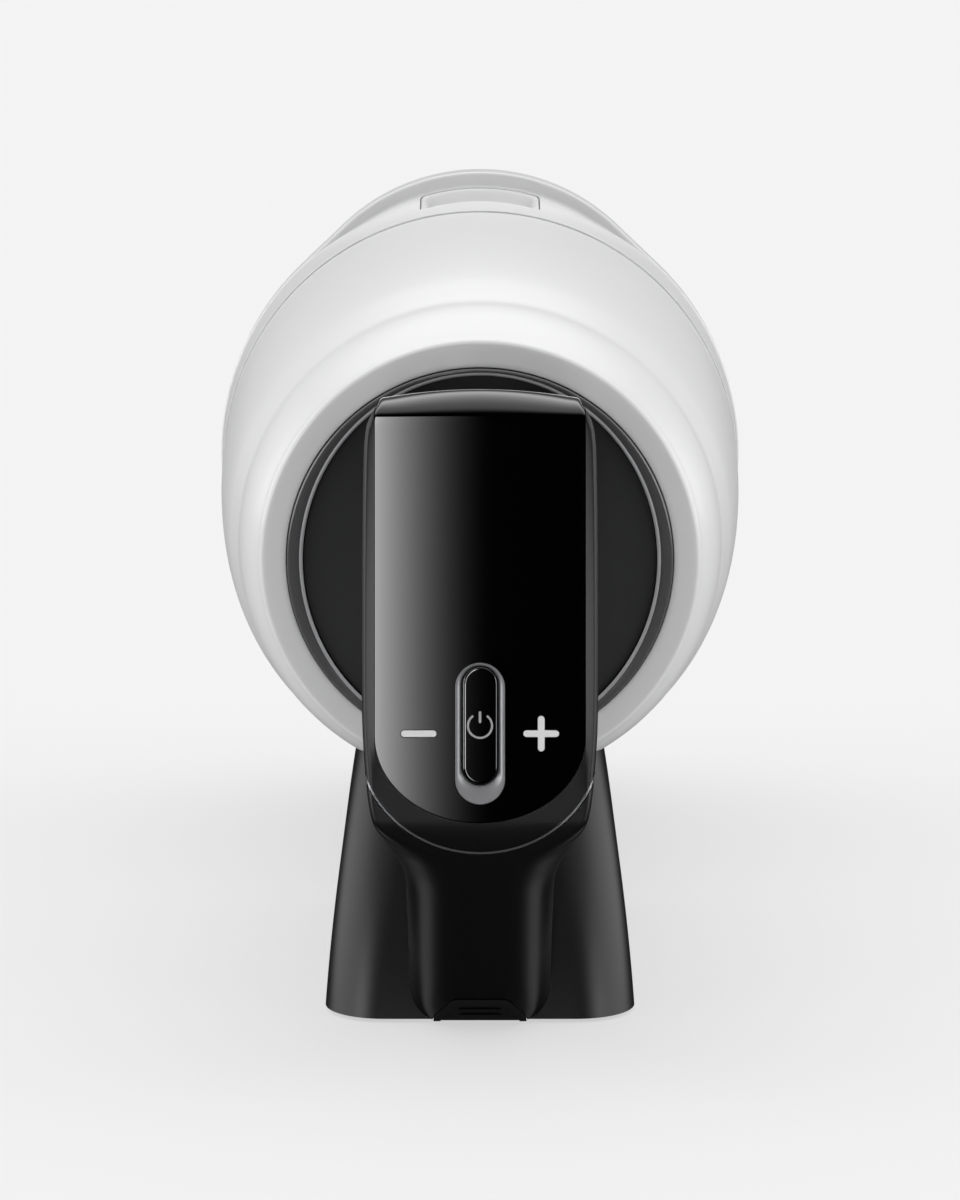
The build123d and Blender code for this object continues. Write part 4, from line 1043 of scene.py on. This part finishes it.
COLUMN_FOOT_Q = -26.4      # station of the grip column's rear face at the button's lower edge
COLUMN_LEAN = (31.6 - 0.8) / (60.0 - 26.4)
BUTTON_SILL = 0.8         # height of that edge
BUTTON_RECESS = 0.8


def leaning_space(name, forward):
    """Everything behind the plane that leans with the grip column, moved forward by a distance."""
    foot = COLUMN_FOOT_Q + forward
    top = BUTTON_SILL + 50 * COLUMN_LEAN
    outline = [(-80, -12), (foot, -12), (foot, BUTTON_SILL), (foot - 50, top), (-80, top)]
    return across_prism(name, outline, 20)


def make_battery_button():
    """Arched button with a raised rim and a recessed, ribbed face; it leans with the grip column."""
    front = span("battery_release_button")[1].y - REAR_Y
    block = arch_prism("battery_button", 0.0, -60.0, front)
    carve(block, leaning_space("lean", 0.0))
    below = [(-40, -12), (10, -12), (10, BUTTON_SILL), (-40, BUTTON_SILL)]
    carve(block, across_prism("floor", below, 20))
    recess = arch_prism("recess", -1.5, -60.0, -15.0)
    keep(recess, leaning_space("recess_depth", BUTTON_RECESS))
    ribs = []
    for z in (2.2, 3.9, 5.6):
        ribs.append(across_prism("rib", [(-60, z), (-15, z), (-15, z + 0.6), (-60, z + 0.6)], 4.4))
    carve(recess, *ribs)
    carve(block, recess)
    soften(block, 0.28, segments=2, angle=45)
    finish_piece(block, "battery_latch", "satin_black", "battery_release_button", 38, "button_black")


# ---- dust bin ----
PORT_Q, PORT_TOP = 152.0, 43.2
BOSS_R, PORT_R = 13.4, 10.4


def port_plug(name, r, low, high):
    """Upright round solid over the inlet port."""
    return prism(name, [(x, PORT_Q + q) for x, q in arc(0, 0, r, 0, 354, 59)], low, high, axis="z")


def make_cup():
    """Clear cup: rounded rear rim, gentle taper, inlet boss with its port underneath."""
    outer = ((0.8, 58.6), (8.0, 58.4), (20.0, 58.0), (35.0, 57.3), (50.0, 56.6), (75.0, 55.2))
    front = [(BIN_END - 0.6, 53.5), (BIN_END, 52.9), (BIN_END, 51.2)]
    inner = ((75.0, 53.0), (50.0, 54.4), (20.0, 55.5), (3.0, 56.2), (3.0, 45.0), (0.0, 45.0), (0.0, 57.8))
    outside, inside = ([(BIN_Q + q, r) for q, r in side] for side in (outer, inner))
    cup = lathe("cup_wall", outside + front + inside, BIN_Z)
    carve(cup, port_plug("boss", BOSS_R, PORT_TOP + 1.4, PORT_TOP + 4.8), operation="UNION")
    carve(cup, port_plug("port", PORT_R, PORT_TOP, PORT_TOP + 12))
    finish_piece(cup, "bin", "smoked_clear", "bin_cup", 40)


# ---- CAD pieces kept, with rounded edges ----
def refine(node, body, slot, width):
    """Copy of a CAD piece with its hard edges rounded."""
    source = frame["nodes"][node]
    piece = new_object(node + "_soft", source.data.copy())
    piece.matrix_world = source.matrix_world.copy()
    work = bmesh.new()
    work.from_mesh(piece.data)
    bmesh.ops.remove_doubles(work, verts=work.verts, dist=2e-7)
    bmesh.ops.dissolve_limit(work, angle_limit=radians(0.5), verts=work.verts, edges=work.edges)
    work.to_mesh(piece.data)
    work.free()
    soften(piece, width)
    return finish_piece(piece, body, slot, node)


# node, body, slot, edge radius
ROUNDED = [
    ("lid_latch", "latch", "grey_collar", 0.5),
    ("bin_hinge_bracket", "bin", "satin_black", 0.3),
    ("inlet_tube", "main_body", "satin_black", 0.35),
    ("inlet_collar", "main_body", "grey_collar", 0.5),
    ("tube_saddle", "main_body", "satin_black", 0.3),
    ("wand_release_button", "wand_button", "grey_collar", 0.5),
    ("battery_base", "battery", "satin_black", 0.5),
    ("battery_case", "battery", "satin_black", 0.4),
]

LID_STEP_R = 52.2         # radius of the raised middle of the lid
LID_KNEE_R = 46.0         # where its slope flattens
LID_RISE, LID_KNEE_RISE = 5.4, 4.6    # heights over the lid's inner face, at the middle and at the knee
LID_RIM_THICK = 3.0
LID_SLOPE = (LID_RISE - LID_KNEE_RISE) / LID_KNEE_R
LID_RINGS = (34.0, 18.0)
# a pressed ring's section: distance from its middle, depth
RING_SECTION = ((1.4, 0.0), (1.1, 0.06), (0.7, 0.45), (0.3, 0.6),
                (-0.3, 0.6), (-0.7, 0.45), (-1.1, 0.06), (-1.4, 0.0))
CATCH_HALF, CATCH_SILL = 7.32, 46.98  # half width of the catch's notch, and its sill over the bin's axis
CATCH_TALL = 13.0


def make_lid():
    """Front lid: the CAD rim and knuckles with a turned face that has two pressed rings."""
    lid = refine("bin_lid", "lid", "satin_black", 0.5)
    inner = LID_FACE_Q - LID_RISE
    step = ((-0.7, 0.0), (-0.1, 0.0), (0.1, -0.4))
    knee = ((-0.25, 0.9), (-0.08, 0.2), (0.0, -0.8))
    profile = [(LID_RIM_THICK + rise, LID_STEP_R + out) for rise, out in step]
    profile += [(LID_KNEE_RISE + rise, LID_KNEE_R + out) for rise, out in knee]
    for ring in LID_RINGS:
        for offset, depth in RING_SECTION:
            profile.append((LID_RISE - LID_SLOPE * (ring + offset) - depth, ring + offset))
    profile += [(LID_RISE - LID_SLOPE * 8.0, 8.0), (LID_RISE - LID_SLOPE, 1.0)]
    rows = [round_row(inner + rise, r, BIN_Z, 160) for rise, r in profile]
    new_face = skin("lid_face", rows)
    old_face = [(x, z) for x, q, z in rows[0]]
    carve(lid, prism("old_face", old_face, inner + LID_RIM_THICK - 0.2, LID_FACE_Q + 3.0))
    # room for the catch, as in the rim behind it
    sill, top = BIN_Z + CATCH_SILL, BIN_Z + CATCH_SILL + CATCH_TALL
    notch = [(-CATCH_HALF, sill), (CATCH_HALF, sill), (CATCH_HALF, top), (-CATCH_HALF, top)]
    carve(new_face, prism("notch", notch, inner - 1.0, inner + 9.0))
    carve(lid, new_face, operation="UNION")
    shade(lid.data, 35)
    return lid


def dress_rest():
    """Material and smooth shading for every CAD piece that is shown as it is."""
    for entry in frame["record"]["subparts"]:
        node = frame["nodes"][entry["node"]]
        node.data.materials.clear()
        node.data.materials.append(LOOKS[entry["material_slot"]])
        shade(node.data, 30)


# ---- studio ----
CAMERA_PITCH = 9.507     # degrees above level, seen from the ring's centre
CAMERA_TILT = 10.0       # how far the camera looks down
CAMERA_LENS = 138.0
CAMERA_DISTANCE = 1.0
WHITE = (1.0, 1.0, 1.0, 1.0)
SKY_BRIGHT = 1.12
SIDE_BRIGHT = 2.2        # level glow at both sides, which lights the flanks of the white housing
SKY_DARK = 0.03          # low behind the camera, which keeps the black parts black
FLOOR_GREY = 0.28
FLOOR_GLOW = 0.575       # the pale floor gives off part of its own light, which keeps its shadow soft
FLOOR_REACH = 25.0       # metres, so that no edge shows from any side
# name, azimuth and power of each soft box
COLUMN_LIGHTS = (("left_low", -131.0, 0.12), ("right_low", 131.0, 0.12))
RAIL_LIGHTS = (("left_rail_box", -46.0, 4.0), ("right_rail_box", 46.0, 3.2))
CARD_DISTANCE = 2.0
CARD_LEFT, CARD_RIGHT = -0.16, 0.012
CARD_FULL_X = -0.085     # where the card reaches its full glow
CARD_FADE = 3.0
CARD_HEIGHTS = (0.22, 0.80)
CARD_GLOW = 9.0


def make_floor():
    """Wide pale floor at the object's base."""
    low, high = cad_box
    x, y, z = (low[0] + high[0]) / 2, (low[1] + high[1]) / 2, low[2] - 0.0002
    mesh = bpy.data.meshes.new("floor")
    corners = [(-1, -1), (1, -1), (1, 1), (-1, 1)]
    mesh.from_pydata([(x + a * FLOOR_REACH, y + b * FLOOR_REACH, z) for a, b in corners], [], [(0, 1, 2, 3)])
    floor = new_object("floor", mesh)
    paper = look("floor_paper", (FLOOR_GREY, FLOOR_GREY, FLOOR_GREY), 0.8, specular=0.0, patchy=0.002)
    glow = {"Emission Color": WHITE, "Emission Strength": FLOOR_GLOW}
    set_inputs(paper.node_tree.nodes["Principled BSDF"], glow)
    mesh.materials.append(paper)
    floor.visible_glossy = False
    floor.visible_shadow = False


def soft_light(name, azimuth, elevation, distance, size, power):
    """Soft box seen only in reflections, placed round the ring's centre; azimuth 0 is behind the camera."""
    target = place((0.0, 0.0, AXIS_Z))
    turn, rise = radians(azimuth), radians(elevation)
    away = Vector((sin(turn) * cos(rise), -cos(turn) * cos(rise), sin(rise)))
    data = bpy.data.lights.new(name, "AREA")
    data.shape = "RECTANGLE"
    data.size, data.size_y = size
    data.energy = power
    lamp = bpy.data.objects.new(name, data)
    bpy.context.scene.collection.objects.link(lamp)
    lamp.location = target + away * distance
    lamp.rotation_euler = (-away).to_track_quat("-Z", "Y").to_euler()
    lamp.visible_diffuse = False


def make_sky():
    """Bright even surroundings that fall off low behind the camera and below the floor."""
    world = bpy.data.worlds.new("studio")
    bpy.context.scene.world = world
    world.use_nodes = True
    tree, link = world.node_tree, world.node_tree.links.new
    direction = add_node(tree, "TexCoord")
    parts = add_node(tree, "SeparateXYZ")
    link(direction.outputs["Generated"], parts.inputs["Vector"])

    def ramp(source, from_low, from_high, to_low, to_high):
        ends = {"From Min": from_low, "From Max": from_high, "To Min": to_low, "To Max": to_high}
        step = add_node(tree, "MapRange", ends, interpolation_type="SMOOTHSTEP")
        link(source, step.inputs["Value"])
        return step.outputs["Result"]

    def combine(operation, first, second):
        step = add_node(tree, "Math", operation=operation)
        link(first, step.inputs[0])
        link(second, step.inputs[1])
        return step.outputs["Value"]

    across = add_node(tree, "Math", operation="ABSOLUTE")
    link(parts.outputs["X"], across.inputs[0])
    high = ramp(parts.outputs["Z"], 0.42, 0.80, 0.08, 1.3)
    beside = ramp(across.outputs["Value"], 0.62, 0.92, 0.0, SIDE_BRIGHT)
    behind_high = ramp(parts.outputs["Z"], 0.48, 0.90, SKY_DARK, 1.0)
    ahead = ramp(parts.outputs["Y"], -0.85, -0.15, 0.0, 1.0)
    forward = ramp(parts.outputs["Y"], -0.60, 0.60, 0.58, 1.42)
    above_floor = ramp(parts.outputs["Z"], -0.05, 0.0, 0.0, SKY_BRIGHT)
    level = combine("MULTIPLY", combine("MULTIPLY", high, combine("MAXIMUM", behind_high, ahead)), forward)
    level = combine("MULTIPLY", combine("MAXIMUM", level, beside), above_floor)
    background = tree.nodes["Background"]
    set_inputs(background, {"Color": WHITE})
    link(level, background.inputs["Strength"])


def make_gradient_card():
    """Glowing card behind the camera, brightest to the left, which the gloss plate mirrors."""
    ring = place((0.0, 0.0, AXIS_Z))
    y = ring.y - CARD_DISTANCE
    z0, z1 = CARD_HEIGHTS
    mesh = bpy.data.meshes.new("gradient_card")
    corners = [(CARD_LEFT, y, z0), (CARD_RIGHT, y, z0), (CARD_RIGHT, y, z1), (CARD_LEFT, y, z1)]
    mesh.from_pydata(corners, [], [(0, 1, 2, 3)])
    card = new_object("gradient_card", mesh)
    material = bpy.data.materials.new("card_glow")
    material.use_nodes = True
    tree, link = material.node_tree, material.node_tree.links.new
    tree.nodes.remove(tree.nodes["Principled BSDF"])
    where = add_node(tree, "TexCoord")
    parts = add_node(tree, "SeparateXYZ")
    fade = add_node(tree, "MapRange", {"From Min": CARD_RIGHT, "From Max": CARD_FULL_X})
    power = add_node(tree, "Math", {1: CARD_FADE}, operation="POWER")
    gain = add_node(tree, "Math", {1: CARD_GLOW}, operation="MULTIPLY")
    glow = add_node(tree, "Emission")
    link(where.outputs["Object"], parts.inputs["Vector"])
    link(parts.outputs["X"], fade.inputs["Value"])
    link(fade.outputs["Result"], power.inputs[0])
    link(power.outputs["Value"], gain.inputs[0])
    link(gain.outputs["Value"], glow.inputs["Strength"])
    link(glow.outputs["Emission"], tree.nodes["Material Output"].inputs["Surface"])
    mesh.materials.append(material)
    card.visible_camera = False
    card.visible_diffuse = False
    card.visible_shadow = False


def make_studio():
    """Camera straight behind and a little above, even surroundings and soft boxes."""
    scene = bpy.context.scene
    scene.view_settings.view_transform = "Standard"
    make_sky()
    make_gradient_card()

    ring = place((0.0, 0.0, AXIS_Z))
    elevation = radians(CAMERA_PITCH)
    away = Vector((0.0, -cos(elevation), sin(elevation)))
    data = bpy.data.cameras.new("camera")
    data.lens = CAMERA_LENS
    data.sensor_width = 36.0
    camera = bpy.data.objects.new("camera", data)
    scene.collection.objects.link(camera)
    camera.location = ring + away * CAMERA_DISTANCE
    camera.rotation_euler = (radians(90.0 - CAMERA_TILT), 0.0, 0.0)
    scene.camera = camera

    # these two sit below the floor's level, where only the leaning grip column mirrors them
    for name, azimuth, power in COLUMN_LIGHTS:
        soft_light(name, azimuth, -50.0, 0.9, (0.22, 0.22), power)
    # these brighten the sloping rails beside the gloss plate
    for name, azimuth, power in RAIL_LIGHTS:
        soft_light(name, azimuth, 11.0, 1.3, (0.5, 0.5), power)


dress_rest()
make_rear_housing()
make_trim_ring()
make_inner_highlight_bead()
make_cover()
make_collar()
make_bin_button()
make_handle()
make_controls()
make_sleeve()
make_battery_button()
make_cup()
make_lid()
for rounded_piece in ROUNDED:
    refine(*rounded_piece)
make_floor()
make_studio()
